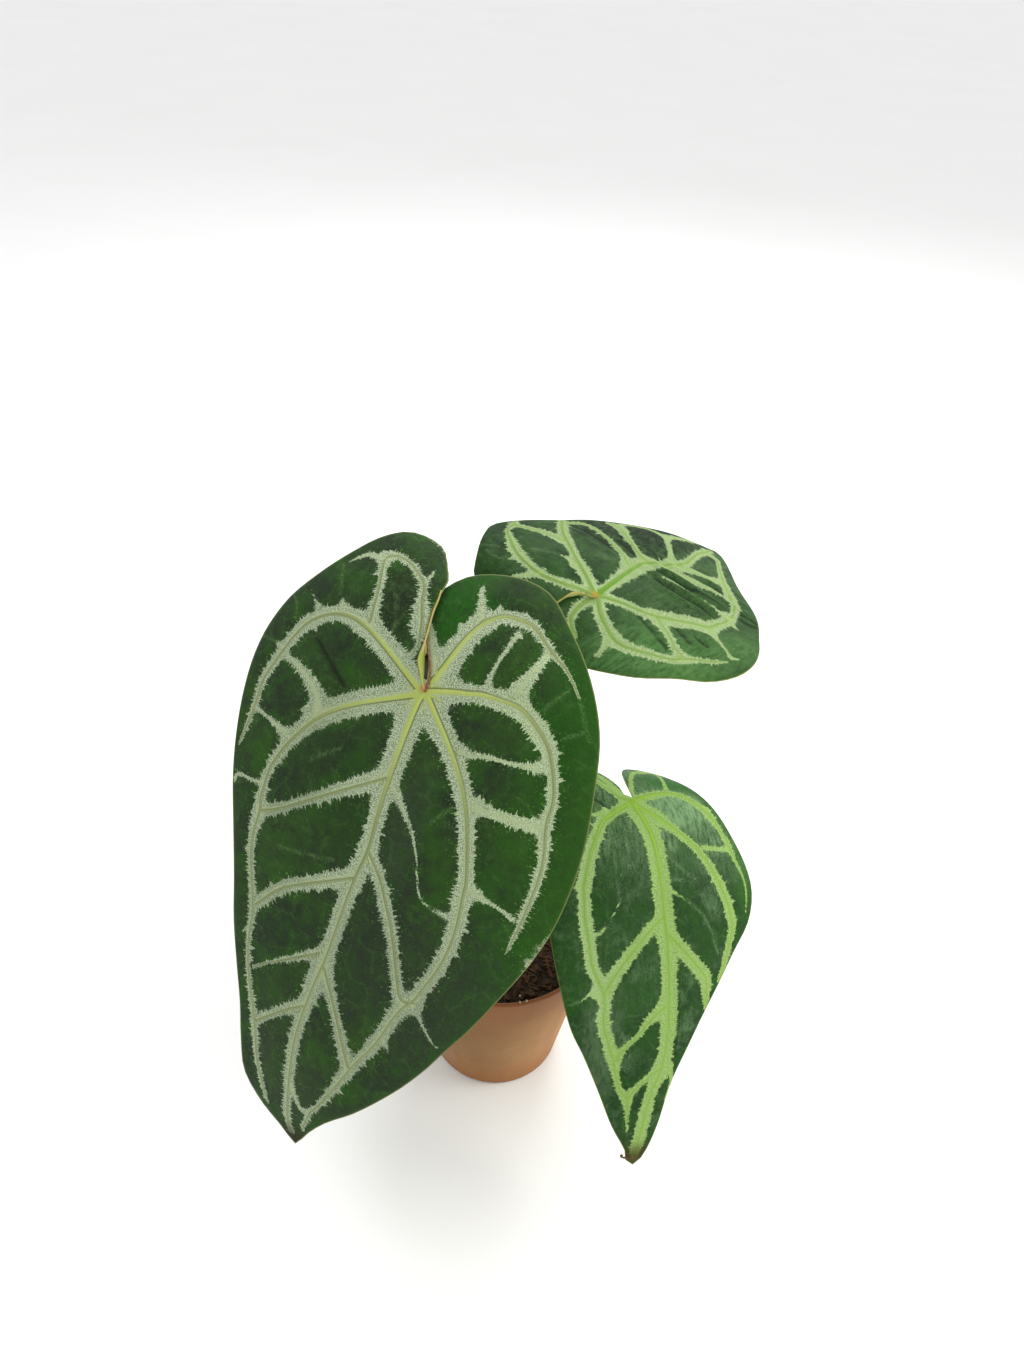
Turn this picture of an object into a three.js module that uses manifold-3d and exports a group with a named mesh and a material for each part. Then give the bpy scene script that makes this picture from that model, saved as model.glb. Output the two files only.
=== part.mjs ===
// Potted anthurium hybrid. Three heart-shaped leaves stand on round stalks above a short stem,
// which grows in a terracotta pot filled with bark mix. Millimetres, +Z up; the origin is the
// middle of the pot's underside, and the plant faces -Y.

import * as THREE from 'three';
import { mergeVertices } from 'three/addons/utils/BufferGeometryUtils.js';
import Module from 'manifold-3d';

const wasm = await Module();
wasm.setup();

// Driving dimensions.

const GAP = 0.3;

const POT_HEIGHT = 113;
const POT_RIM_RADIUS = 60;
const POT_FOOT_RADIUS = 41.3;
const POT_WALL = 3;
const POT_FLOOR = 4;
const POT_SEGMENTS = 60;
const GROOVE_HEIGHT = 90;
const GROOVE_DEPTH = 0.5;
const DRAIN_COUNT = 4;
const DRAIN_RADIUS = 4.5;
const DRAIN_CIRCLE_RADIUS = 24;

const SOIL_TOP = 104;
const SOIL_RINGS = 9;
const SOIL_SECTORS = 44;
const SOIL_BUMP = 1.4;
const CHIP_COUNT = 30;

const STEM_CENTRE = [2, 7];
const STEM_BOTTOM = 78;
const STEM_TOP = 121;
const STEM_RADIUS = 10;

const STALK_SIDES = 10;
const STALK_STEPS = 20;
const STALK_FOOT_RADIUS = 3.4;
const STALK_RADIUS = 2.4;
const KNEE_RADIUS = 3.3;
const KNEE_LENGTH = 24;

const BLADE_THICKNESS = 0.8;
const OUTLINE_STEP = 6;
const RIB_STEP = 10;
const FIELD_STEP = 12.5;
const QUILT_HEIGHT = 1.2;
const QUILT_WIDTH = 8;

// Shared helpers.

// A small repeatable random source, so every build gives the same bumps.
function randomSource(seed) {
  let state = seed;
  return () => {
    state = (state * 1664525 + 1013904223) % 4294967296;
    return state / 4294967296;
  };
}

function geometryFrom(positions, indices) {
  const geometry = new THREE.BufferGeometry();
  geometry.setAttribute('position', new THREE.Float32BufferAttribute(positions, 3));
  geometry.setIndex(indices);
  return geometry;
}

function toSolid(geometry) {
  const bare = geometry.clone();
  bare.deleteAttribute('normal');
  bare.deleteAttribute('uv');
  const merged = mergeVertices(bare, 1e-4);
  return new wasm.Manifold(new wasm.Mesh({
    numProp: 3,
    vertProperties: new Float32Array(merged.attributes.position.array),
    triVerts: new Uint32Array(merged.index.array),
  }));
}

function fromSolid(solid) {
  const mesh = solid.getMesh();
  return geometryFrom(Array.from(mesh.vertProperties), Array.from(mesh.triVerts));
}

function named(name, geometry, color, roughness) {
  const material = new THREE.MeshStandardMaterial({ color, roughness, metalness: 0 });
  geometry.computeVertexNormals();
  const mesh = new THREE.Mesh(geometry, material);
  mesh.name = name;
  return mesh;
}

// A lathe turned about +Z from points given as [radius, height].
function turned(profile, segments) {
  const points = profile.map(([radius, height]) => new THREE.Vector2(radius, height));
  const geometry = new THREE.LatheGeometry(points, segments);
  geometry.rotateX(Math.PI / 2);
  return geometry;
}

// Pot.

function innerRadius(height) {
  const t = (height - POT_FLOOR) / (POT_HEIGHT - POT_FLOOR);
  return POT_FOOT_RADIUS - POT_WALL + t * (POT_RIM_RADIUS - POT_FOOT_RADIUS) + 0.4;
}

function outerRadius(height) {
  return POT_FOOT_RADIUS + (height / POT_HEIGHT) * (POT_RIM_RADIUS - POT_FOOT_RADIUS);
}

function potGeometry() {
  const body = toSolid(turned([
    [0, 0],
    [POT_FOOT_RADIUS - 1.6, 0],
    [outerRadius(1.6), 1.6],
    [outerRadius(GROOVE_HEIGHT - 1.2), GROOVE_HEIGHT - 1.2],
    [outerRadius(GROOVE_HEIGHT) - GROOVE_DEPTH, GROOVE_HEIGHT],
    [outerRadius(GROOVE_HEIGHT + 1.2), GROOVE_HEIGHT + 1.2],
    [outerRadius(POT_HEIGHT - 1.5), POT_HEIGHT - 1.5],
    [POT_RIM_RADIUS - 1, POT_HEIGHT],
    [innerRadius(POT_HEIGHT) + 0.8, POT_HEIGHT],
    [innerRadius(POT_HEIGHT - 1.2), POT_HEIGHT - 1.2],
    [innerRadius(POT_FLOOR), POT_FLOOR],
    [0, POT_FLOOR],
  ], POT_SEGMENTS));
  let pot = body;
  for (let i = 0; i < DRAIN_COUNT; i += 1) {
    const angle = ((i + 0.5) / DRAIN_COUNT) * Math.PI * 2;
    const drill = turned([[0, -2], [DRAIN_RADIUS, -2], [DRAIN_RADIUS, POT_FLOOR + 2], [0, POT_FLOOR + 2]], 14);
    drill.translate(Math.cos(angle) * DRAIN_CIRCLE_RADIUS, Math.sin(angle) * DRAIN_CIRCLE_RADIUS, 0);
    pot = pot.subtract(toSolid(drill));
  }
  return fromSolid(pot);
}

// Soil.

function soilHeight(x, y) {
  const broad = Math.sin(x * 0.11 + 0.6) * Math.cos(y * 0.13 - 0.4);
  const close = Math.sin(x * 0.37 + y * 0.21) * Math.cos(y * 0.41 - x * 0.17);
  return SOIL_TOP + SOIL_BUMP * (0.6 * broad + 0.5 * close);
}

// The filling: a bumpy top skin, a flat bottom and a tapered side just clear of the pot's wall.
function soilBody() {
  const bottom = POT_FLOOR + GAP;
  const edgeTop = innerRadius(SOIL_TOP) - 0.75;
  const edgeBottom = innerRadius(bottom) - 0.75;
  const positions = [];
  const indices = [];
  const ringStart = (ring) => 1 + (ring - 1) * SOIL_SECTORS;
  positions.push(0, 0, soilHeight(0, 0));
  for (let ring = 1; ring <= SOIL_RINGS; ring += 1) {
    for (let sector = 0; sector < SOIL_SECTORS; sector += 1) {
      const angle = ((sector + (ring % 2) * 0.5) / SOIL_SECTORS) * Math.PI * 2;
      const radius = edgeTop * (ring / SOIL_RINGS);
      const x = radius * Math.cos(angle);
      const y = radius * Math.sin(angle);
      const height = ring === SOIL_RINGS ? SOIL_TOP - 0.6 : soilHeight(x, y);
      positions.push(x, y, height);
    }
  }
  const lower = positions.length / 3;
  for (let sector = 0; sector < SOIL_SECTORS; sector += 1) {
    const angle = ((sector + (SOIL_RINGS % 2) * 0.5) / SOIL_SECTORS) * Math.PI * 2;
    positions.push(edgeBottom * Math.cos(angle), edgeBottom * Math.sin(angle), bottom);
  }
  const centre = positions.length / 3;
  positions.push(0, 0, bottom);
  for (let sector = 0; sector < SOIL_SECTORS; sector += 1) {
    const next = (sector + 1) % SOIL_SECTORS;
    indices.push(0, 1 + sector, 1 + next);
    for (let ring = 1; ring < SOIL_RINGS; ring += 1) {
      const inner = ringStart(ring);
      const outer = ringStart(ring + 1);
      indices.push(inner + sector, outer + sector, outer + next);
      indices.push(inner + sector, outer + next, inner + next);
    }
    const rim = ringStart(SOIL_RINGS);
    indices.push(rim + sector, lower + sector, lower + next);
    indices.push(rim + sector, lower + next, rim + next);
    indices.push(centre, lower + next, lower + sector);
  }
  return toSolid(geometryFrom(positions, indices));
}

// Bark chips half sunk in the top of the mix.
function soilGeometry() {
  const random = randomSource(31);
  let soil = soilBody();
  for (let i = 0; i < CHIP_COUNT; i += 1) {
    const angle = random() * Math.PI * 2;
    const radius = 16 + random() * 32;
    const x = radius * Math.cos(angle);
    const y = radius * Math.sin(angle);
    const chip = new THREE.IcosahedronGeometry(1, 0);
    chip.scale(2.5 + random() * 2.5, 2 + random() * 1.5, 1.4 + random());
    chip.rotateX((random() - 0.5) * 1.2);
    chip.rotateZ(random() * Math.PI);
    chip.translate(x, y, soilHeight(x, y) + 0.2);
    soil = soil.add(toSolid(chip));
  }
  const socket = turned([
    [0, STEM_BOTTOM - GAP],
    [STEM_RADIUS * 0.8 + GAP, STEM_BOTTOM - GAP],
    [STEM_RADIUS + GAP, SOIL_TOP - 4],
    [STEM_RADIUS + GAP, SOIL_TOP + 12],
    [0, SOIL_TOP + 12],
  ], 20);
  socket.translate(STEM_CENTRE[0], STEM_CENTRE[1], 0);
  return fromSolid(soil.subtract(toSolid(socket)));
}

// Round stalks.

// A tapered round rod along a curve, with flat ends.
function rodGeometry(curve, radiusAt, steps) {
  const frames = curve.computeFrenetFrames(steps, false);
  const positions = [];
  const indices = [];
  for (let i = 0; i <= steps; i += 1) {
    const t = i / steps;
    const centre = curve.getPointAt(t);
    const radius = radiusAt(t * curve.getLength());
    for (let side = 0; side < STALK_SIDES; side += 1) {
      const angle = (side / STALK_SIDES) * Math.PI * 2;
      const point = centre.clone();
      point.addScaledVector(frames.normals[i], Math.cos(angle) * radius);
      point.addScaledVector(frames.binormals[i], Math.sin(angle) * radius);
      positions.push(point.x, point.y, point.z);
    }
  }
  const foot = positions.length / 3;
  const start = curve.getPointAt(0);
  const end = curve.getPointAt(1);
  positions.push(start.x, start.y, start.z, end.x, end.y, end.z);
  for (let side = 0; side < STALK_SIDES; side += 1) {
    const next = (side + 1) % STALK_SIDES;
    for (let i = 0; i < steps; i += 1) {
      const a = i * STALK_SIDES;
      const b = a + STALK_SIDES;
      indices.push(a + side, a + next, b + next);
      indices.push(a + side, b + next, b + side);
    }
    const last = steps * STALK_SIDES;
    indices.push(foot, next, side);
    indices.push(foot + 1, last + side, last + next);
  }
  return geometryFrom(positions, indices);
}

// Leaf surfaces.

// A leaf lies on a bent surface. On its flat pattern, u runs across from the midrib and v runs
// from the stalk's joint (0) to the tip; the two back lobes have negative v.

// Where the seam between the two back lobes lies, at one distance from the joint.
function seamAt(seam, v) {
  const next = seam.findIndex((point) => point[1] > v);
  if (next < 1) {
    return seam[next < 0 ? seam.length - 1 : 0][0];
  }
  const [u0, v0] = seam[next - 1];
  const [u1, v1] = seam[next];
  return u0 + ((u1 - u0) * (v - v0)) / (v1 - v0);
}

class LeafSurface {
  constructor(leaf) {
    this.leaf = leaf;
    const heading = THREE.MathUtils.degToRad(leaf.heading);
    const pitch = THREE.MathUtils.degToRad(leaf.pitch);
    const roll = THREE.MathUtils.degToRad(leaf.roll);
    this.base = new THREE.Vector3(...leaf.base);
    this.along = new THREE.Vector3(
      Math.sin(heading) * Math.cos(pitch),
      -Math.cos(heading) * Math.cos(pitch),
      Math.sin(pitch),
    );
    const side = new THREE.Vector3(Math.cos(heading), Math.sin(heading), 0);
    const up = new THREE.Vector3().crossVectors(side, this.along);
    if (up.z < 0) {
      up.negate();
    }
    this.across = side.clone().multiplyScalar(Math.cos(roll)).addScaledVector(up, Math.sin(roll));
    this.up = up.clone().multiplyScalar(Math.cos(roll)).addScaledVector(side, -Math.sin(roll));
    this.profile = this.bendProfile();
  }

  // The angle by which the midrib has turned down at v.
  bendAt(v) {
    const leaf = this.leaf;
    if (v >= 0) {
      const share = (1 - Math.exp(-v / leaf.tipReach)) / (1 - Math.exp(-leaf.length / leaf.tipReach));
      return THREE.MathUtils.degToRad(leaf.tipBend) * share;
    }
    const share = (1 - Math.exp(v / leaf.lobeReach)) / (1 - Math.exp(-leaf.lobeLength / leaf.lobeReach));
    return -THREE.MathUtils.degToRad(leaf.lobeBend) * share;
  }

  // The bent midrib as places along and above the joint, one for each millimetre of v.
  bendProfile() {
    const low = -Math.ceil(this.leaf.lobeLength * 1.5);
    const high = Math.ceil(this.leaf.length * 1.1);
    const run = new Map([[0, 0]]);
    const rise = new Map([[0, 0]]);
    for (let v = 1; v <= high; v += 1) {
      const angle = this.bendAt(v - 0.5);
      run.set(v, run.get(v - 1) + Math.cos(angle));
      rise.set(v, rise.get(v - 1) - Math.sin(angle));
    }
    for (let v = -1; v >= low; v -= 1) {
      const angle = this.bendAt(v + 0.5);
      run.set(v, run.get(v + 1) - Math.cos(angle));
      rise.set(v, rise.get(v + 1) + Math.sin(angle));
    }
    return { run, rise };
  }

  droop(u, v) {
    const leaf = this.leaf;
    const rate = u < 0 ? leaf.leftDroop : leaf.rightDroop;
    const x = u / (leaf.length * 0.42);
    const y = (v - leaf.length * 0.3) / (leaf.length * 0.65);
    const reach = Math.min(1.2, Math.hypot(x, y));
    const turn = Math.atan2(x, y);
    const wave = leaf.waveHeight * reach ** 4 * Math.sin(leaf.waveCount * turn + leaf.wavePhase);
    return wave - rate * u * u;
  }

  // Where the two back lobes meet, the margin of one turns up and laps over the other.
  lapAt(u, v) {
    const lap = this.leaf.lap;
    if (!lap || v > lap.from) {
      return { shift: 0, lift: 0 };
    }
    const offset = (u - seamAt(lap.seam, v)) * lap.way;
    const ramp = Math.min(1, (lap.from - v) / 6, Math.max(0, (v - lap.until) / 14));
    const near = Math.exp(-((offset / lap.reach) ** 2)) * ramp;
    if (offset < 0) {
      return { shift: 0, lift: -0.2 * lap.lift * near };
    }
    return { shift: -lap.way * lap.shift * near, lift: lap.lift * near };
  }

  point(u, v, lift = 0) {
    const floor = Math.floor(v);
    const part = v - floor;
    const { run, rise } = this.profile;
    const t = run.get(floor) * (1 - part) + run.get(floor + 1) * part;
    const n = rise.get(floor) * (1 - part) + rise.get(floor + 1) * part;
    const angle = this.bendAt(v);
    const lap = this.lapAt(u, v);
    const height = this.droop(u, v) + lift + lap.lift;
    return this.base.clone()
      .addScaledVector(this.across, u + lap.shift)
      .addScaledVector(this.along, t + Math.sin(angle) * height)
      .addScaledVector(this.up, n + Math.cos(angle) * height);
  }

  normal(u, v) {
    const step = 0.25;
    const du = this.point(u + step, v).sub(this.point(u - step, v));
    const dv = this.point(u, v + step).sub(this.point(u, v - step));
    const normal = new THREE.Vector3().crossVectors(du, dv).normalize();
    return normal.dot(this.up) < 0 ? normal.negate() : normal;
  }
}

// Flat leaf patterns.

function smoothLine(points, closed, step) {
  const curve = new THREE.CatmullRomCurve3(
    points.map(([u, v]) => new THREE.Vector3(u, v, 0)),
    closed,
    'centripetal',
  );
  const count = Math.max(2, Math.round(curve.getLength() / step));
  const line = curve.getSpacedPoints(count).map((point) => [point.x, point.y]);
  if (closed) {
    line.pop();
  }
  return line;
}

function isInside(point, outline) {
  let inside = false;
  for (let i = 0, j = outline.length - 1; i < outline.length; j = i, i += 1) {
    const [ux, uy] = outline[i];
    const [wx, wy] = outline[j];
    const crosses = (uy > point[1]) !== (wy > point[1]);
    if (crosses && point[0] < ((wx - ux) * (point[1] - uy)) / (wy - uy) + ux) {
      inside = !inside;
    }
  }
  return inside;
}

function distanceToLine(point, line, closed) {
  let best = Infinity;
  const last = closed ? line.length : line.length - 1;
  for (let i = 0; i < last; i += 1) {
    const [ax, ay] = line[i];
    const [bx, by] = line[(i + 1) % line.length];
    const dx = bx - ax;
    const dy = by - ay;
    const share = ((point[0] - ax) * dx + (point[1] - ay) * dy) / (dx * dx + dy * dy || 1);
    const t = Math.min(1, Math.max(0, share));
    best = Math.min(best, Math.hypot(ax + dx * t - point[0], ay + dy * t - point[1]));
  }
  return best;
}

// Delaunay triangles of points on the flat pattern, by adding one point at a time.
function delaunay(points) {
  const far = 5000;
  const all = [...points, [-far, -far], [far, -far], [0, far]];
  const circle = (a, b, c) => {
    const [ax, ay] = all[a];
    const bx = all[b][0] - ax;
    const by = all[b][1] - ay;
    const cx = all[c][0] - ax;
    const cy = all[c][1] - ay;
    const d = 2 * (bx * cy - by * cx);
    const x = (cy * (bx * bx + by * by) - by * (cx * cx + cy * cy)) / d;
    const y = (bx * (cx * cx + cy * cy) - cx * (bx * bx + by * by)) / d;
    return { corners: [a, b, c], x: ax + x, y: ay + y, reach: x * x + y * y };
  };
  const first = points.length;
  let triangles = [circle(first, first + 1, first + 2)];
  points.forEach(([px, py], index) => {
    const edges = new Map();
    const kept = [];
    for (const triangle of triangles) {
      const dx = px - triangle.x;
      const dy = py - triangle.y;
      if (dx * dx + dy * dy >= triangle.reach) {
        kept.push(triangle);
        continue;
      }
      const [a, b, c] = triangle.corners;
      for (const [from, to] of [[a, b], [b, c], [c, a]]) {
        const reverse = `${to} ${from}`;
        if (edges.has(reverse)) {
          edges.delete(reverse);
        } else {
          edges.set(`${from} ${to}`, [from, to]);
        }
      }
    }
    for (const [from, to] of edges.values()) {
      kept.push(circle(from, to, index));
    }
    triangles = kept;
  });
  return triangles.map((triangle) => triangle.corners).filter((corners) => Math.max(...corners) < first);
}

// Points of the pattern: the margin, each rib with a flank on either side, and a loose field.
function patternPoints(leaf) {
  const random = randomSource(leaf.seed);
  const outline = smoothLine(leaf.outline, true, OUTLINE_STEP)
    .flatMap((point, i, line) => {
      const next = line[(i + 1) % line.length];
      const nearSinus = Math.abs(point[0]) < 20 && point[1] < 0 && point[1] > -leaf.lobeLength;
      const nearTip = point[1] > leaf.length * 0.93;
      const middle = [(point[0] + next[0]) / 2, (point[1] + next[1]) / 2];
      return nearSinus || nearTip ? [point, middle] : [point];
    });
  const points = outline.map(([u, v]) => ({ u, v, margin: true, rise: 0, drop: 0 }));
  const isFree = (u, v, distance) => points.every((p) => Math.hypot(p.u - u, p.v - v) > distance);
  const fits = (u, v, clear) => isInside([u, v], outline) && distanceToLine([u, v], outline, true) > clear;
  for (const rib of leaf.ribs) {
    smoothLine(rib.path, false, RIB_STEP).forEach(([u, v]) => {
      const fade = Math.min(1, Math.max(0, (Math.hypot(u, v) - 6) / 12));
      if (fits(u, v, 2.5) && isFree(u, v, 3)) {
        points.push({ u, v, rise: rib.rise * fade, drop: rib.drop * fade, centre: true });
      }
    });
  }
  for (const rib of leaf.ribs) {
    const line = smoothLine(rib.path, false, RIB_STEP);
    for (let i = 1; i < line.length - 1; i += 1) {
      const du = line[i + 1][0] - line[i - 1][0];
      const dv = line[i + 1][1] - line[i - 1][1];
      const size = Math.hypot(du, dv);
      for (const way of [-1, 1]) {
        const u = line[i][0] - (way * rib.halfWidth * dv) / size;
        const v = line[i][1] + (way * rib.halfWidth * du) / size;
        if (fits(u, v, 2.2) && isFree(u, v, rib.halfWidth * 0.85)) {
          points.push({ u, v, rise: 0, drop: 0 });
        }
      }
    }
  }
  for (let row = -10; row < 30; row += 1) {
    for (let column = -12; column < 12; column += 1) {
      const u = (column + (row % 2 === 0 ? 0 : 0.5)) * FIELD_STEP + (random() - 0.5) * 2;
      const v = row * FIELD_STEP * 0.87 + (random() - 0.5) * 2;
      if (fits(u, v, 5) && isFree(u, v, FIELD_STEP * 0.55)) {
        points.push({ u, v, rise: 0, drop: 0 });
      }
    }
  }
  return { points, outline };
}

// The blade: the same triangles on its upper and lower faces, joined by the margin's edge.
function bladeGeometry(leaf) {
  const surface = new LeafSurface(leaf);
  const { points, outline } = patternPoints(leaf);
  const triangles = delaunay(points.map(({ u, v }) => [u, v])).filter(([a, b, c]) => {
    const u = (points[a].u + points[b].u + points[c].u) / 3;
    const v = (points[a].v + points[b].v + points[c].v) / 3;
    return isInside([u, v], outline);
  });
  const ribLines = leaf.ribs.map((rib) => smoothLine(rib.path, false, 4));
  const upper = [];
  const lower = [];
  for (const { u, v, margin, rise, drop } of points) {
    const ribDistance = Math.min(...ribLines.map((line) => distanceToLine([u, v], line, false)));
    const marginDistance = margin ? 0 : distanceToLine([u, v], outline, true);
    const rounded = 1 - Math.exp(-((ribDistance / QUILT_WIDTH) ** 2));
    const quilt = QUILT_HEIGHT * rounded * Math.min(1, marginDistance / 12);
    const normal = surface.normal(u, v);
    const middle = surface.point(u, v, quilt);
    const top = middle.clone().addScaledVector(normal, BLADE_THICKNESS / 2 + rise);
    const bottom = middle.clone().addScaledVector(normal, -BLADE_THICKNESS / 2 - drop);
    upper.push(top.x, top.y, top.z);
    lower.push(bottom.x, bottom.y, bottom.z);
  }
  const count = points.length;
  const flip = surface.normal(0, 20).dot(
    new THREE.Vector3().crossVectors(surface.across, surface.along),
  ) > 0;
  const indices = [];
  const open = new Map();
  for (const [a, b, c] of triangles) {
    const turn = (points[b].u - points[a].u) * (points[c].v - points[a].v)
      - (points[b].v - points[a].v) * (points[c].u - points[a].u);
    const face = (turn > 0) === flip ? [a, b, c] : [a, c, b];
    indices.push(...face);
    indices.push(face[0] + count, face[2] + count, face[1] + count);
    for (let i = 0; i < 3; i += 1) {
      const from = face[i];
      const to = face[(i + 1) % 3];
      if (open.has(`${to} ${from}`)) {
        open.delete(`${to} ${from}`);
      } else {
        open.set(`${from} ${to}`, [from, to]);
      }
    }
  }
  for (const [from, to] of open.values()) {
    indices.push(from, from + count, to + count);
    indices.push(from, to + count, to);
  }
  return geometryFrom([...upper, ...lower], indices);
}

// The three leaves.

const MIDRIB = { halfWidth: 2.6, rise: 0.5, drop: 1.5 };
const SIDE_RIB = { halfWidth: 2.2, rise: 0.4, drop: 0.9 };
const LOBE_RIB = { halfWidth: 2, rise: 0.3, drop: 0.7 };

const LARGE_LEAF = {
  seed: 11,
  jointGap: 0.5,
  base: [-40.4, -45, 330.6],
  heading: -24,
  pitch: -46,
  roll: 0,
  length: 229,
  lobeLength: 60,
  tipBend: 22,
  tipReach: 1000,
  lobeBend: 25,
  lobeReach: 1000,
  leftDroop: 0.0014,
  rightDroop: 0.0009,
  waveHeight: 1,
  lap: {
    way: -1, from: -9, until: -66, shift: 5.6, lift: 2.6, reach: 11,
    seam: [[-9, -75], [-9, -60], [-12, -52], [-14.6, -42], [-12.6, -27], [-7.4, -16], [-2, -4]],
  },
  waveCount: 7,
  wavePhase: 0.4,
  outline: [
    [0, -4], [-2.5, -12], [-7.5, -21], [-12, -30], [-13.5, -42], [-10.5, -50], [-2, -59], [12, -64],
    [24, -65], [37, -62], [52, -49], [65, -35], [76, -19], [83.4, -3], [88.5, 20], [91.4, 42],
    [91.4, 62], [89, 82], [83.5, 101], [75.5, 120], [67, 138], [59, 152], [52, 165], [42, 180],
    [25, 200], [11, 213], [2, 225], [-2, 232.5], [-12, 228], [-26, 221.5], [-38.5, 210],
    [-43.6, 193.5], [-48, 175], [-55, 156], [-62.5, 137], [-68.5, 118], [-77, 94], [-85.5, 71],
    [-91.5, 50], [-96, 28], [-97.5, 11], [-96, -4], [-90, -23.5], [-79, -40], [-67, -55],
    [-56, -68], [-45, -75], [-31, -74], [-20.5, -68], [-15.5, -55], [-15.8, -40], [-14.6, -27],
    [-10, -16], [-6, -8], [-2.5, -2.5],
  ],
  ribs: [
    { ...MIDRIB, path: [[0, 2], [1, 29], [0, 57], [-4, 98], [-7, 133], [-11, 169], [-11, 200], [-6, 216], [-2, 224]] },
    { ...SIDE_RIB, path: [[3, 3], [20, 21], [38, 45], [47, 80], [43, 120], [31, 152], [16, 180], [5, 203]] },
    { ...SIDE_RIB, path: [[3, -1], [30, -7], [53, -2], [69, 17], [76, 50], [74, 85], [66, 110], [52, 138]] },
    { ...LOBE_RIB, path: [[2, -4], [11, -23], [16, -38], [31, -45], [45, -39], [61, -27], [72, -8]] },
    { ...SIDE_RIB, path: [[-3, 2], [-28, 13], [-51, 32], [-63, 62], [-60, 98], [-51, 138], [-38, 178], [-22, 206]] },
    { ...SIDE_RIB, path: [[-3, -1], [-27, -13], [-56, -23], [-77, -10], [-85, 20], [-84, 60], [-74, 82]] },
    { ...LOBE_RIB, path: [[-9, -14], [-13, -28], [-21, -43], [-31, -53], [-43, -58], [-44, -42], [-37, -22]] },
  ],
};

const LOWER_LEAF = {
  seed: 23,
  jointGap: 0.9,
  base: [68.6, 5, 217.2],
  heading: 13.9,
  pitch: -5.5,
  roll: -10,
  length: 202.4,
  lobeLength: 50,
  tipBend: 60,
  tipReach: 60,
  lobeBend: 40,
  lobeReach: 45,
  leftDroop: 0.0012,
  rightDroop: 0.0022,
  waveHeight: 1.2,
  lap: null,
  waveCount: 8,
  wavePhase: 1.1,
  outline: [
    [2, -3], [2, -11], [4.5, -26], [9.5, -37], [17.5, -43], [27, -40], [36, -28], [47, -13.5], [55, 2.5],
    [61.2, 19.5], [67, 36], [70, 49], [70, 60], [66.5, 73], [57.5, 87], [47.5, 104], [38.5, 120],
    [30, 139], [21.5, 160], [16.5, 182], [12, 195], [8, 202], [3.5, 205.5], [-0.5, 203.5], [-2, 197],
    [-11, 182], [-21.4, 160], [-31.8, 139], [-40, 124], [-47, 102], [-53, 77], [-55, 62],
    [-56, 45], [-53, 25], [-46, 6], [-37, -12], [-28, -26], [-20, -35], [-13.5, -37], [-9.5, -32],
    [-6, -22], [-3, -12], [-1.5, -3.5],
  ],
  ribs: [
    { ...MIDRIB, path: [[1, 2], [9, 30], [12, 63], [16, 108], [18, 130], [12, 156], [6, 183], [4, 199]] },
    { ...SIDE_RIB, path: [[3, 1], [27, 18], [45, 44], [55, 72], [50, 96], [38, 111], [26, 136], [14, 170]] },
    { ...SIDE_RIB, path: [[4, -1], [21, -7], [35, -6], [46, 3], [56, 22], [64, 42], [65, 58]] },
    { ...SIDE_RIB, path: [[-3, 2], [-21, 12], [-32, 34], [-35, 58], [-30, 88], [-23, 112], [-17, 138], [-4, 172]] },
    { ...SIDE_RIB, path: [[-3, -1], [-17, -6], [-32, -5], [-43, 12], [-48, 34], [-48, 56]] },
    { ...LOBE_RIB, path: [[5, -10], [9, -24], [15, -33], [26, -29], [36, -18]] },
  ],
};

const UPPER_LEAF = {
  seed: 37,
  jointGap: 0.5,
  base: [38.2, 30, 336.5],
  heading: 138.6,
  pitch: -5.2,
  roll: 19.3,
  length: 152,
  lobeLength: 50,
  tipBend: 22.5,
  tipReach: 400,
  lobeBend: 30,
  lobeReach: 60,
  leftDroop: -0.001,
  rightDroop: 0.0032,
  waveHeight: 0.8,
  waveCount: 8,
  wavePhase: 2.2,
  lap: {
    way: 1, from: -4, until: -48, shift: 4.4, lift: 2, reach: 9,
    seam: [[6, -60], [8, -41], [10.4, -32], [10, -22], [7.8, -12], [3, -4]],
  },
  outline: [
    [1, -4], [6.8, -12], [9.2, -22], [9.4, -32], [4, -41], [-6, -45], [-16, -43], [-25, -38],
    [-35, -32], [-49, -21], [-62, -3], [-72, 9], [-77.5, 23], [-77.5, 38], [-72.4, 57], [-64.3, 74],
    [-54.2, 91], [-34.5, 110], [-14, 132], [-3, 142], [4, 146.5], [8.2, 141.5], [12.5, 136.5], [21.5, 121.5],
    [31.5, 99], [41.5, 80], [50, 60], [57, 40], [69, 21], [74.5, 8], [67, -15], [55.5, -32],
    [47, -41], [35, -45], [22, -43], [14, -35], [11, -23], [9, -12], [4.5, -4],
  ],
  ribs: [
    { ...MIDRIB, path: [[1, 3], [3, 24], [6, 45], [4, 68], [-1, 86], [0, 112], [4, 139], [5, 147]] },
    { ...SIDE_RIB, path: [[-2, 2], [-27, 25], [-41, 44], [-42, 70], [-35, 97], [-19, 117], [-4, 135]] },
    { ...SIDE_RIB, path: [[-3, -3], [-20, -15], [-40, -9], [-58, 10], [-68, 34], [-65, 54]] },
    { ...SIDE_RIB, path: [[3, 2], [23, 14], [40, 25], [51, 37], [50, 52], [40, 75], [28, 97], [13, 121]] },
    { ...SIDE_RIB, path: [[3, -2], [21, -15], [40, -15], [56, -5], [64, 9], [60, 24]] },
    { ...LOBE_RIB, path: [[1, -10], [-4, -24], [-14, -29], [-25, -25]] },
  ],
};

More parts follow.
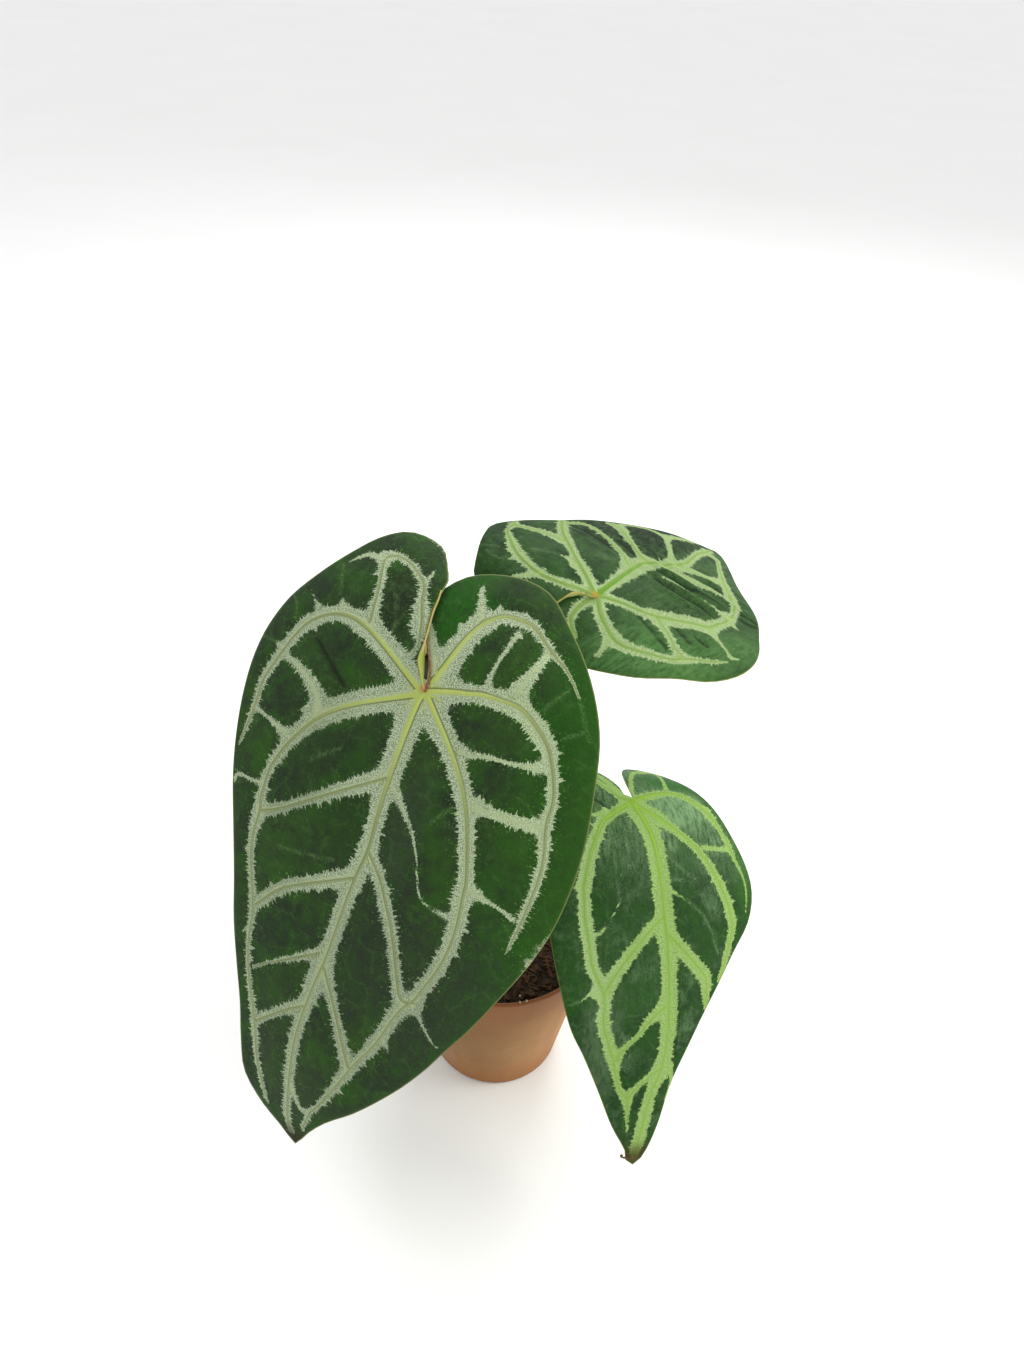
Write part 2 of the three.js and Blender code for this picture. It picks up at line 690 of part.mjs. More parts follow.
// A stalk rises from its socket in the stem and meets the blade's underside square on.
function stalkCurve(leaf, waypoints) {
  const surface = new LeafSurface(leaf);
  const down = surface.normal(1, 5).negate();
  const joint = surface.point(1, 5).addScaledVector(down, BLADE_THICKNESS / 2 + leaf.jointGap);
  const knee = joint.clone().addScaledVector(down, KNEE_LENGTH * 0.35);
  const route = waypoints.map((point) => new THREE.Vector3(...point));
  return new THREE.CatmullRomCurve3([...route, knee, joint], false, 'centripetal');
}

function stalkRadius(curve) {
  const total = curve.getLength();
  return (distance) => {
    const left = total - distance;
    const taper = STALK_FOOT_RADIUS + (STALK_RADIUS - STALK_FOOT_RADIUS) * Math.min(1, distance / (total * 0.6));
    const swell = left < KNEE_LENGTH ? Math.sin((left / KNEE_LENGTH) * Math.PI) : 0;
    return taper + (KNEE_RADIUS - STALK_RADIUS) * swell;
  };
}

const LARGE_STALK = stalkCurve(LARGE_LEAF, [
  [-3, 6, 111], [-8, 12, 150], [-16, 13, 210], [-26, 1, 270], [-30, -14, 300],
]);
const UPPER_STALK = stalkCurve(UPPER_LEAF, [
  [4, 12, 111], [6, 20, 150], [8, 30, 210], [17, 36, 270], [26, 35, 302],
]);
const LOWER_STALK = stalkCurve(LOWER_LEAF, [
  [7, 4, 111], [14, 4, 132], [34, 6, 160], [55, 7, 184],
]);

// The short stem: a knobbly stub with a socket for each stalk.
function stemGeometry() {
  const height = STEM_TOP - STEM_BOTTOM;
  const stub = turned([
    [0, STEM_BOTTOM],
    [STEM_RADIUS * 0.7, STEM_BOTTOM],
    [STEM_RADIUS * 0.9, STEM_BOTTOM + height * 0.3],
    [STEM_RADIUS, STEM_BOTTOM + height * 0.62],
    [STEM_RADIUS * 0.93, STEM_BOTTOM + height * 0.7],
    [STEM_RADIUS * 0.98, STEM_BOTTOM + height * 0.8],
    [STEM_RADIUS * 0.9, STEM_BOTTOM + height * 0.93],
    [STEM_RADIUS * 0.7, STEM_TOP],
    [0, STEM_TOP + 1],
  ], 20);
  stub.translate(STEM_CENTRE[0], STEM_CENTRE[1], 0);
  let stem = toSolid(stub);
  for (const curve of [LARGE_STALK, UPPER_STALK, LOWER_STALK]) {
    const start = curve.getPointAt(0);
    const ahead = curve.getPointAt(0.02);
    const way = ahead.clone().sub(start).normalize();
    const socket = new THREE.CatmullRomCurve3([
      start.clone().addScaledVector(way, -GAP),
      start.clone().addScaledVector(way, 18),
    ]);
    stem = stem.subtract(toSolid(rodGeometry(socket, () => STALK_FOOT_RADIUS + GAP + 0.15, 4)));
  }
  return fromSolid(stem);
}

// The object.

const plant = new THREE.Group();
plant.add(
  named('pot', potGeometry(), 0xb0825a, 0.9),
  named('potting_mix', soilGeometry(), 0x2d1e14, 1),
  named('stem', stemGeometry(), 0x6b6a3c, 0.8),
  named('stalk_large', rodGeometry(LARGE_STALK, stalkRadius(LARGE_STALK), STALK_STEPS), 0x6f8f45, 0.5),
  named('stalk_upper', rodGeometry(UPPER_STALK, stalkRadius(UPPER_STALK), STALK_STEPS), 0x6f8f45, 0.5),
  named('stalk_lower', rodGeometry(LOWER_STALK, stalkRadius(LOWER_STALK), STALK_STEPS), 0x6f8f45, 0.5),
  named('leaf_large', bladeGeometry(LARGE_LEAF), 0x2c4a2c, 0.6),
  named('leaf_upper', bladeGeometry(UPPER_LEAF), 0x2f5230, 0.6),
  named('leaf_lower', bladeGeometry(LOWER_LEAF), 0x356438, 0.6),
);

export default plant;
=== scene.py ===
"""The looks of the potted anthurium hybrid: netted velvet leaves, stalks, clay pot and bark mix."""

import math
import random

import bpy
import numpy as np
from mathutils import Euler, Matrix, Vector, noise


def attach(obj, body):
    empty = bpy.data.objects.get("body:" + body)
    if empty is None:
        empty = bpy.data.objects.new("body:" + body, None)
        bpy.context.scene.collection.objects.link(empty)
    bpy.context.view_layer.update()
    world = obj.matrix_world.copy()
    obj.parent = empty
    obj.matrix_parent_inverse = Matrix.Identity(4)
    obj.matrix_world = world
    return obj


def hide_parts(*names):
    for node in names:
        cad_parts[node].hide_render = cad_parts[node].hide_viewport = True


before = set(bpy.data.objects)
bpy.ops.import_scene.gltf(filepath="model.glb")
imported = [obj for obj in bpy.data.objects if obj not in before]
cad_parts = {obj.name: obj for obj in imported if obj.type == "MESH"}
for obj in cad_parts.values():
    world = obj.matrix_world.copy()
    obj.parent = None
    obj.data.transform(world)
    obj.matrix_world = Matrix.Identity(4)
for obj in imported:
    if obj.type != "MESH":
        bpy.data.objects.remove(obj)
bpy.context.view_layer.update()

MM = 0.001
PHOTO_HEIGHT = 1365


# Handling of objects.

def deselect_all():
    bpy.ops.object.select_all(action="DESELECT")


def make_active(piece):
    deselect_all()
    piece.select_set(True)
    bpy.context.view_layer.objects.active = piece


def merged_copy(node, name):
    """A copy of a CAD node with its loose triangles joined up."""
    piece = bpy.data.objects.new(name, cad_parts[node].data.copy())
    bpy.context.scene.collection.objects.link(piece)
    piece.data.name = name
    piece.data.materials.clear()
    make_active(piece)
    bpy.ops.object.mode_set(mode="EDIT")
    bpy.ops.mesh.select_all(action="SELECT")
    bpy.ops.mesh.remove_doubles(threshold=2e-6)
    bpy.ops.object.mode_set(mode="OBJECT")
    return piece


def places(piece):
    """Vertex places in millimetres."""
    flat = np.empty(len(piece.data.vertices) * 3)
    piece.data.vertices.foreach_get("co", flat)
    return flat.reshape(-1, 3) / MM


def set_places(piece, points):
    piece.data.vertices.foreach_set("co", (points * MM).ravel())
    piece.data.update()


def normals(piece):
    flat = np.empty(len(piece.data.vertices) * 3)
    piece.data.vertices.foreach_get("normal", flat)
    return flat.reshape(-1, 3)


def set_attribute(piece, name, values):
    layer = piece.data.attributes.new(name, "FLOAT", "POINT")
    layer.data.foreach_set("value", np.ascontiguousarray(values, dtype=np.float32))


def smooth(piece, degrees):
    make_active(piece)
    bpy.ops.object.shade_smooth_by_angle(angle=math.radians(degrees))


def finish_piece(piece, node, material):
    if not piece.data.materials:
        piece.data.materials.append(material)
    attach(piece, "root")
    if node:
        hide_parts(node)
    return piece


# Shader sums.

class Value:
    """A number that changes over a surface. Python sums on it add Math nodes."""

    def __init__(self, finish, socket):
        self.finish = finish
        self.socket = socket

    def sum(self, operation, *others, first=None):
        terms = [self if first is None else first, *(others if first is None else (self,))]
        return self.finish.node("ShaderNodeMath", {"operation": operation}, dict(enumerate(terms)))

    def __add__(self, other):
        return self.sum("ADD", other)

    __radd__ = __add__

    def __mul__(self, other):
        return self.sum("MULTIPLY", other)

    __rmul__ = __mul__

    def __sub__(self, other):
        return self.sum("SUBTRACT", other)

    def __rsub__(self, other):
        return self.sum("SUBTRACT", first=other)

    def __truediv__(self, other):
        return self.sum("DIVIDE", other)

    def __pow__(self, other):
        return self.sum("POWER", other)

    def __abs__(self):
        return self.sum("ABSOLUTE")

    def between(self, low, high):
        """0 at low, 1 at high, with a soft start and end."""
        settings = {"interpolation_type": "SMOOTHSTEP"}
        sockets = {"Value": self, "From Min": low, "From Max": high}
        return self.finish.node("ShaderNodeMapRange", settings, sockets)


class Finish:
    """One material: its nodes are added by one method and end in a Principled shader."""

    def __init__(self, name, **constants):
        self.material = bpy.data.materials.new(name)
        self.material.use_nodes = True
        self.tree = self.material.node_tree
        self.shader = self.tree.nodes["Principled BSDF"]
        for socket, value in constants.items():
            self.shader.inputs[socket.replace("_", " ")].default_value = value

    def node(self, kind, settings=None, sockets=None, output=0):
        made = self.tree.nodes.new(kind)
        for key, value in (settings or {}).items():
            setattr(made, key, value)
        for key, value in (sockets or {}).items():
            if isinstance(value, Value):
                self.tree.links.new(value.socket, made.inputs[key])
            else:
                made.inputs[key].default_value = value
        return Value(self, made.outputs[output])

    def attribute(self, name):
        return self.node("ShaderNodeAttribute", {"attribute_name": name}, output="Fac")

    def place(self):
        return self.node("ShaderNodeTexCoord", output="Object")

    def vector(self, x=0.0, y=0.0, z=0.0):
        return self.node("ShaderNodeCombineXYZ", None, {"X": x, "Y": y, "Z": z})

    def part(self, vector, axis):
        return self.node("ShaderNodeSeparateXYZ", None, {"Vector": vector}, output=axis)

    def noise(self, vector, scale, detail=3.0, rough=0.55, bend=0.0):
        sockets = {"Vector": vector, "Scale": scale, "Detail": detail, "Roughness": rough}
        return self.node("ShaderNodeTexNoise", None, {**sockets, "Distortion": bend})

    def cells(self, vector, scale, feature="DISTANCE_TO_EDGE", output="Distance"):
        sockets = {"Vector": vector, "Scale": scale}
        return self.node("ShaderNodeTexVoronoi", {"feature": feature}, sockets, output=output)

    def stretched(self, vector, x, y, z):
        return self.node("ShaderNodeVectorMath", {"operation": "MULTIPLY"}, {0: vector, 1: (x, y, z)})

    def mix(self, factor, first, second):
        made = self.tree.nodes.new("ShaderNodeMix")
        made.data_type = "RGBA"
        for index, value in ((0, factor), (6, first), (7, second)):
            if isinstance(value, Value):
                self.tree.links.new(value.socket, made.inputs[index])
            elif index == 0:
                made.inputs[0].default_value = value
            else:
                made.inputs[index].default_value = (*value, 1.0)
        return Value(self, made.outputs[2])

    def wire(self, socket, value):
        self.tree.links.new(value.socket, self.shader.inputs[socket])

    def length(self, vector):
        return self.node("ShaderNodeVectorMath", {"operation": "LENGTH"}, {0: vector}, output="Value")

    def bump(self, height, distance, strength=1.0, under=None):
        sockets = {"Height": height, "Distance": distance, "Strength": strength}
        if under is not None:
            sockets["Normal"] = under
        return self.node("ShaderNodeBump", None, sockets)


def colour(red, green, blue):
    """A colour as seen on screen, 0 to 255, turned into light values."""
    parts = (red / 255, green / 255, blue / 255)
    return tuple(c / 12.92 if c <= 0.04045 else ((c + 0.055) / 1.055) ** 2.4 for c in parts)


# Camera, light and floor.

CAMERA_PLACE = Vector((-1, -405, 621)) * MM
CAMERA_PITCH = math.radians(38.3)
CAMERA_ROLL = math.radians(3.1)
FOCUS_PIXELS = 1027
SENSOR = 36.0
NEAREST_VIEW = 0.01
WORLD_STRENGTH = 0.95
LIGHT_TARGET = Vector((0, 0, 0.2))
# A light is its name, place and width in metres, power in watts and tint.
LIGHTS = (
    ("window_light", (1.3, -0.1, 1.1), 0.8, 14, (1.0, 0.97, 0.92)),
    ("back_light", (0.3, 1.2, 1.4), 0.9, 14, (0.98, 1.0, 1.0)),
)
FLOOR_SIZE = 60
FLOOR_DROP = 0.0005


def set_camera():
    ahead = Vector((0, math.cos(CAMERA_PITCH), -math.sin(CAMERA_PITCH)))
    level = Vector((1, 0, 0))
    upright = level.cross(ahead)
    right = level * math.cos(CAMERA_ROLL) + upright * math.sin(CAMERA_ROLL)
    up = upright * math.cos(CAMERA_ROLL) - level * math.sin(CAMERA_ROLL)
    data = bpy.data.cameras.new("photo_camera")
    data.sensor_fit = "VERTICAL"
    data.sensor_height = SENSOR
    data.lens = FOCUS_PIXELS / PHOTO_HEIGHT * SENSOR
    data.clip_start = NEAREST_VIEW
    camera = bpy.data.objects.new("photo_camera", data)
    bpy.context.scene.collection.objects.link(camera)
    turn = Matrix((right, up, -ahead)).transposed().to_4x4()
    camera.matrix_world = Matrix.Translation(CAMERA_PLACE) @ turn
    bpy.context.scene.camera = camera


def add_soft_light(name, place, size, power, tint):
    data = bpy.data.lights.new(name, "AREA")
    data.shape = "DISK"
    data.size = size
    data.energy = power
    data.color = tint
    light = bpy.data.objects.new(name, data)
    bpy.context.scene.collection.objects.link(light)
    light.location = place
    light.rotation_euler = (LIGHT_TARGET - Vector(place)).to_track_quat("-Z", "Y").to_euler()


def set_light():
    world = bpy.data.worlds.new("studio")
    bpy.context.scene.world = world
    world.use_nodes = True
    background = world.node_tree.nodes["Background"]
    background.inputs["Color"].default_value = (1.0, 1.0, 1.0, 1.0)
    background.inputs["Strength"].default_value = WORLD_STRENGTH
    for light in LIGHTS:
        add_soft_light(*light)
    bpy.context.scene.view_settings.view_transform = "Standard"


def add_floor():
    finish = Finish("pale_floor", Roughness=0.9)
    patches = finish.noise(finish.place(), 3.0)
    tone = finish.mix(patches, (0.86, 0.86, 0.855), (0.9, 0.9, 0.9))
    finish.wire("Base Color", tone)
    deselect_all()
    bpy.ops.mesh.primitive_plane_add(size=FLOOR_SIZE, location=(0, 0, -FLOOR_DROP))
    floor = bpy.context.object
    floor.name = "floor"
    floor.data.materials.append(finish.material)


# Leaf surfaces. A blade has a flat pattern: u across from the midrib, v from joint to tip, in millimetres.

WAVE_MIDDLE = 0.3
WAVE_LONG = 0.65
WAVE_WIDE = 0.42
WAVE_LIMIT = 1.2
LAP_BEGINS_OVER = 6
LAP_ENDS_OVER = 14
LAP_SINK = 0.2
SEARCH_WIDTH = 105
SEARCH_STEP = 3.0
SEARCH_ROUNDS = 14
SEARCH_NUDGE = 0.02
SEARCH_LARGEST_MOVE = 6
SEARCH_MISS_COST = 50
WRONG_SIDE_COST = 20
WRONG_SIDE_FROM = 0.2
CORNER_CUTS = 2


class LeafSurface:
    """The bent middle layer of a blade, as a function of the pattern."""

    def __init__(self, leaf):
        self.leaf = leaf
        heading, pitch, roll = (math.radians(leaf[key]) for key in ("heading", "pitch", "roll"))
        self.base = np.array(leaf["base"], float)
        self.along = np.array([
            math.sin(heading) * math.cos(pitch),
            -math.cos(heading) * math.cos(pitch),
            math.sin(pitch),
        ])
        side = np.array([math.cos(heading), math.sin(heading), 0.0])
        up = np.cross(side, self.along)
        up = -up if up[2] < 0 else up
        self.across = side * math.cos(roll) + up * math.sin(roll)
        self.up = up * math.cos(roll) - side * math.sin(roll)
        low = math.ceil(leaf["lobe_length"] * 1.5)
        high = math.ceil(leaf["length"] * 1.1)
        ahead = self.bend(np.arange(high) + 0.5)
        behind = self.bend(-np.arange(low) - 0.5)
        self.marks = np.arange(-low, high + 1)
        self.run = np.concatenate([-np.cumsum(np.cos(behind))[::-1], [0], np.cumsum(np.cos(ahead))])
        self.rise = np.concatenate([np.cumsum(np.sin(behind))[::-1], [0], -np.cumsum(np.sin(ahead))])

    def bend(self, v):
        """The blade's downward turn, which grows from the joint to its end."""
        turns = []
        for end, length in (("tip", self.leaf["length"]), ("lobe", self.leaf["lobe_length"])):
            reach = self.leaf[end + "_reach"]
            share = (1 - np.exp(-np.abs(v) / reach)) / (1 - math.exp(-length / reach))
            turns.append(math.radians(self.leaf[end + "_bend"]) * share)
        return np.where(v >= 0, turns[0], -turns[1])

    def droop(self, u, v):
        """The sides' fall away from the midrib, and the margin's waves."""
        leaf = self.leaf
        x = u / (leaf["length"] * WAVE_WIDE)
        y = (v - leaf["length"] * WAVE_MIDDLE) / (leaf["length"] * WAVE_LONG)
        reach = np.minimum(WAVE_LIMIT, np.hypot(x, y))
        turn = leaf["wave_count"] * np.arctan2(x, y) + leaf["wave_phase"]
        rate = np.where(u < 0, leaf["left_droop"], leaf["right_droop"])
        return leaf["wave_height"] * reach ** 4 * np.sin(turn) - rate * u * u

    def seam(self, v):
        """Where the two back lobes meet."""
        line = self.leaf["lap"]["seam"] if self.leaf["lap"] else [(0, 0)]
        return np.interp(v, [point[1] for point in line], [point[0] for point in line])

    def lap(self, u, v):
        """How far one back lobe is pushed over the other, and how far it is lifted."""
        lap = self.leaf["lap"]
        if not lap:
            return 0 * u, 0 * u
        offset = (u - self.seam(v)) * lap["way"]
        start = (lap["from"] - v) / LAP_BEGINS_OVER
        end = (v - lap["until"]) / LAP_ENDS_OVER
        ramp = np.clip(np.minimum(start, end), 0, 1)
        near = np.exp(-((offset / lap["reach"]) ** 2)) * ramp
        shift = np.where(offset < 0, 0, -lap["way"] * lap["shift"] * near)
        return shift, np.where(offset < 0, -LAP_SINK, 1.0) * lap["lift"] * near

    def point(self, u, v, lift=0.0):
        """Places in millimetres of the plant, at a height above the blade's middle layer."""
        run = np.interp(v, self.marks, self.run)
        rise = np.interp(v, self.marks, self.rise)
        angle = self.bend(v)
        shift, lapped = self.lap(u, v)
        height = self.droop(u, v) + lift + lapped
        return (self.base
                + np.multiply.outer(u + shift, self.across)
                + np.multiply.outer(run + np.sin(angle) * height, self.along)
                + np.multiply.outer(rise + np.cos(angle) * height, self.up))

    def normal(self, u, v):
        step = 0.25
        du = self.point(u + step, v) - self.point(u - step, v)
        dv = self.point(u, v + step) - self.point(u, v - step)
        across = np.cross(du, dv)
        across /= np.linalg.norm(across, axis=1)[:, None]
        return np.where((across @ self.up)[:, None] < 0, -across, across)

    def flatten(self, points):
        """The pattern's u and v under places on the blade, by the nearest of a grid and then by steps."""
        lobe = self.leaf["lobe_length"]
        length = self.leaf["length"]
        columns = np.arange(-SEARCH_WIDTH, SEARCH_WIDTH + 1, SEARCH_STEP)
        rows = np.arange(-lobe * 1.4, length * 1.04, SEARCH_STEP)
        grid_u, grid_v = (grid.ravel() for grid in np.meshgrid(columns, rows))
        best = np.full(len(points), np.inf)
        answer = np.zeros((len(points), 2))
        for way in (-1, 1):
            half = (grid_u - self.seam(grid_v)) * way >= 0
            start_u, start_v = grid_u[half], grid_v[half]
            spots = self.point(start_u, start_v)
            nearest = np.array([np.argmin(((spots - p) ** 2).sum(1)) for p in points])
            guess = np.stack([start_u[nearest], start_v[nearest], 0 * nearest], axis=1)
            for _ in range(SEARCH_ROUNDS):
                error = self.point(guess[:, 0], guess[:, 1], guess[:, 2]) - points
                slopes = np.empty((len(points), 3, 3))
                for axis in range(3):
                    moved = guess.copy()
                    moved[:, axis] += SEARCH_NUDGE
                    slopes[:, :, axis] = (self.point(*moved.T) - points - error) / SEARCH_NUDGE
                step = np.linalg.solve(slopes, error[:, :, None])[:, :, 0]
                guess -= np.clip(step, -SEARCH_LARGEST_MOVE, SEARCH_LARGEST_MOVE)
            error = np.linalg.norm(self.point(*guess.T) - points, axis=1)
            side = (guess[:, 0] - self.seam(guess[:, 1])) * way
            wrong = np.where(side < -WRONG_SIDE_FROM, WRONG_SIDE_COST, 0)
            cost = error * SEARCH_MISS_COST + np.abs(guess[:, 2]) + wrong
            better = cost < best
            best[better] = cost[better]
            answer[better] = guess[better, :2]
        return answer


def smooth_line(points):
    """A line of given points with its corners cut off."""
    line = np.array(points, float)
    for _ in range(CORNER_CUTS):
        near = line[:-1] * 0.75 + line[1:] * 0.25
        far = line[:-1] * 0.25 + line[1:] * 0.75
        inner = np.stack([near, far], axis=1).reshape(-1, line.shape[1])
        line = np.concatenate([line[:1], inner, line[-1:]])
    return line


def measure_from_line(u, v, line):
    """Distance to the line, the length along it, the half width there, and the side of the line."""
    best = np.full(len(u), np.inf)
    along, half = np.zeros((2, len(u)))
    side = np.ones(len(u))
    passed = 0.0
    for (ax, ay, a_half), (bx, by, b_half) in zip(line, line[1:]):
        dx, dy = bx - ax, by - ay
        size = max(math.hypot(dx, dy), 1e-6)
        share = np.clip(((u - ax) * dx + (v - ay) * dy) / size ** 2, 0, 1)
        gap = np.hypot(ax + dx * share - u, ay + dy * share - v)
        closer = gap < best
        best = np.where(closer, gap, best)
        along = np.where(closer, passed + share * size, along)
        half = np.where(closer, a_half + (b_half - a_half) * share, half)
        side = np.where(closer, np.sign((u - ax) * dy - (v - ay) * dx), side)
        passed += size
    return best, along, half, side


# A vein is its rank and its points: u, v and the half width of its pale band there, in
# millimetres on the pattern. Rank 0 is the midrib, 1 the main side veins, 2 the links, 3 threads.
# A ghost is a faint pale line without a band, and a crease is a sharp fold, darkened with painted shade.

LARGE_VEINS = [
    (0, [(1, 2, 6.8), (-1, 6, 6.9), (-2, 46, 5.4), (-2, 61, 3.9), (-1, 78, 4.6), (-4, 91, 4.2),
         (-7, 132, 4), (-9, 141, 5.5), (-13, 166, 3.1), (-14, 185, 3.3), (-11, 214, 2.4),
         (-9, 223, 2.3), (-6, 227, 1.4)]),
    (1, [(3, 3, 6.1), (26, 26, 4.4), (38, 45, 4.1), (47, 74, 3.4), (47, 79, 4.5), (49, 97, 3.8),
         (47, 114, 3.7), (41, 129, 3.1), (39, 135, 4), (33, 142, 3.3), (27, 162, 3.6), (19, 176, 2.3),
         (16, 183, 3.2), (6, 206, 1.4), (2, 211, 1.6), (0, 222, 1.3)]),
    (1, [(2, 1, 5.9), (15, -3, 5.2), (21, -4, 3.6), (27, -6, 4.5), (40, -6, 4.5), (44, -6, 5.3),
         (49, -4, 4.4), (58, 2, 4.6), (65, 9, 3.5), (73, 27, 2.2), (72, 38, 3.2), (77, 55, 2.3),
         (76, 76, 2), (73, 99, 0.4)]),
    (1, [(3, -4, 6.3), (5, -9, 7.4), (10, -27, 5.2), (14, -36, 5.4), (21, -43, 3.8), (26, -44, 3.6),
         (35, -44, 3.6), (39, -42, 2.2), (51, -33, 1.8), (59, -29, 0.7), (68, -19, 0.6)]),
    (1, [(-1, 3, 6), (-43, 23, 5.9), (-58, 43, 3.8), (-64, 57, 2.8), (-65, 63, 2.4), (-65, 76, 2.8),
         (-63, 81, 4.3), (-64, 94, 2.5), (-61, 106, 2.2), (-52, 127, 2.2), (-51, 143, 1.7),
         (-46, 160, 1.4), (-37, 181, 2.3), (-33, 199, 1.6), (-25, 215, 1.4), (-21, 221, 0.5)]),
    (1, [(-2, 1, 5), (-28, -14, 5.5), (-43, -21, 4.8), (-57, -22, 3.9), (-69, -16, 4.2), (-76, -7, 3.8),
         (-86, 20, 2.6), (-86, 26, 2.1), (-85, 34, 2.2), (-87, 56, 0.6)]),
    (2, [(-38, -22, 4.1), (-41, -38, 1.5), (-46, -52, 2.6), (-47, -55, 4.5), (-43, -58, 2.7),
         (-36, -57, 1.8), (-30, -54, 1.8), (-23, -47, 1.8), (-22, -40, 1.8), (-18, -30, 3.8),
         (-16, -24, 3.4), (-14, -19, 0.7), (-13, -12, 0.9)]),
    (3, [(-47, -55, 2.3), (-55, -55, 1.5), (-59, -54, 1.2), (-65, -48, 0.3)]),
    (2, [(-4, 44, 4.5), (-42, 69, 2.1), (-52, 76, 2.6), (-63, 81, 3.6)]),
    (2, [(-5, 92, 4.3), (-34, 107, 2.8), (-42, 113, 3.3), (-51, 124, 3.2)]),
    (2, [(-10, 131, 2.7), (-35, 147, 0.7), (-44, 154, 0.9)]),
    (2, [(-13, 160, 3.5), (-23, 167, 2.4), (-37, 180, 2.1)]),
    (2, [(0, 79, 3.8), (9, 88, 3), (13, 95, 3.5), (21, 108, 2.6), (30, 131, 2.7), (33, 138, 3.6),
         (39, 136, 4.6)]),
    (2, [(-7, 138, 4.5), (4, 155, 2.2), (16, 179, 3.6)]),
    (3, [(0, 46, 2.4), (5, 49, 1.9), (20, 65, 0.4), (28, 88, 0.6), (34, 91, 0.4), (43, 92, 1.1)]),
    (3, [(-11, 203, 2.4), (-6, 209, 1.2), (-3, 212, 1), (0, 212, 1.6)]),
    (3, [(-77, 7, 1.5), (-67, 9, 2), (-55, 16, 3.4), (-50, 21, 4.4), (-49, 25, 6.3)]),
    (3, [(-84, 36, 1.2), (-73, 38, 0.6), (-62, 42, 3)]),
    (3, [(-65, 69, 1.5), (-75, 69, 0.6), (-83, 69, 1.2), (-83, 74, 0.6)]),
    (3, [(27, 21, 3.1), (31, 21, 1.4), (41, 19, 1.1), (46, 19, 0.8), (55, 18, 1.1), (62, 16, 2.4)]),
    (3, [(41, 42, 3.8), (49, 42, 2.2), (70, 41, 3.1)]),
    (3, [(51, 78, 3.1), (59, 79, 0.8), (68, 81, 0.7), (71, 83, 1.4)]),
    (3, [(48, -33, 1.8), (46, -25, 2.1), (42, -12, 4.3)]),
    (3, [(13, -38, 3.7), (11, -43, 2.1), (6, -54, 1), (8, -55, 0.3)]),
    (3, [(32, -37, 1.4), (28, -18, 0.6), (28, -12, 1.4)]),
    (3, [(42, 139, 1), (54, 152, 0.4), (56, 151, 0.2)]),
    (3, [(2, -8, 5.2), (-11, -32, 0.5)]),
    (3, [(-70, -22, 1.6), (-73, -25, 0.4), (-79, -30, 0.2)]),
    (3, [(-56, -25, 2.2), (-58, -29, 0.3)]),
    (3, [(-67, -12, 1.1), (-64, -7, 0.2)]),
    (3, [(-83, 3, 1.5), (-86, 2, 0.5)]),
    (3, [(-23, -48, 0.9), (-21, -56, 0.2)]),
    (3, [(-64, 101, 1), (-67, 102, 0.2)]),
    (3, [(-53, 138, 0.8), (-56, 141, 0.2)]),
    (3, [(30, 159, 1.6), (34, 163, 0.3)]),
    (3, [(7, -30, 0.9), (4, -35, 0.2)]),
]
LARGE_GHOSTS = [
    [(-37, -43), (-30, -36), (-25, -20)],
    [(-67, -47), (-60, -31)],
    [(-88, -25), (-82, -20), (-80, -13)],
    [(-98, 1), (-87, 2)],
    [(-47, 93), (-16, 88)],
    [(-44, 49), (-29, 38)],
    [(56, -9), (63, -21)],
    [(68, 1), (76, -5)],
    [(68, -19), (79, -2)],
    [(31, 46), (24, 55)],
]
LARGE_CREASES = [
    [(-66, -9), (-39, 11)],
]
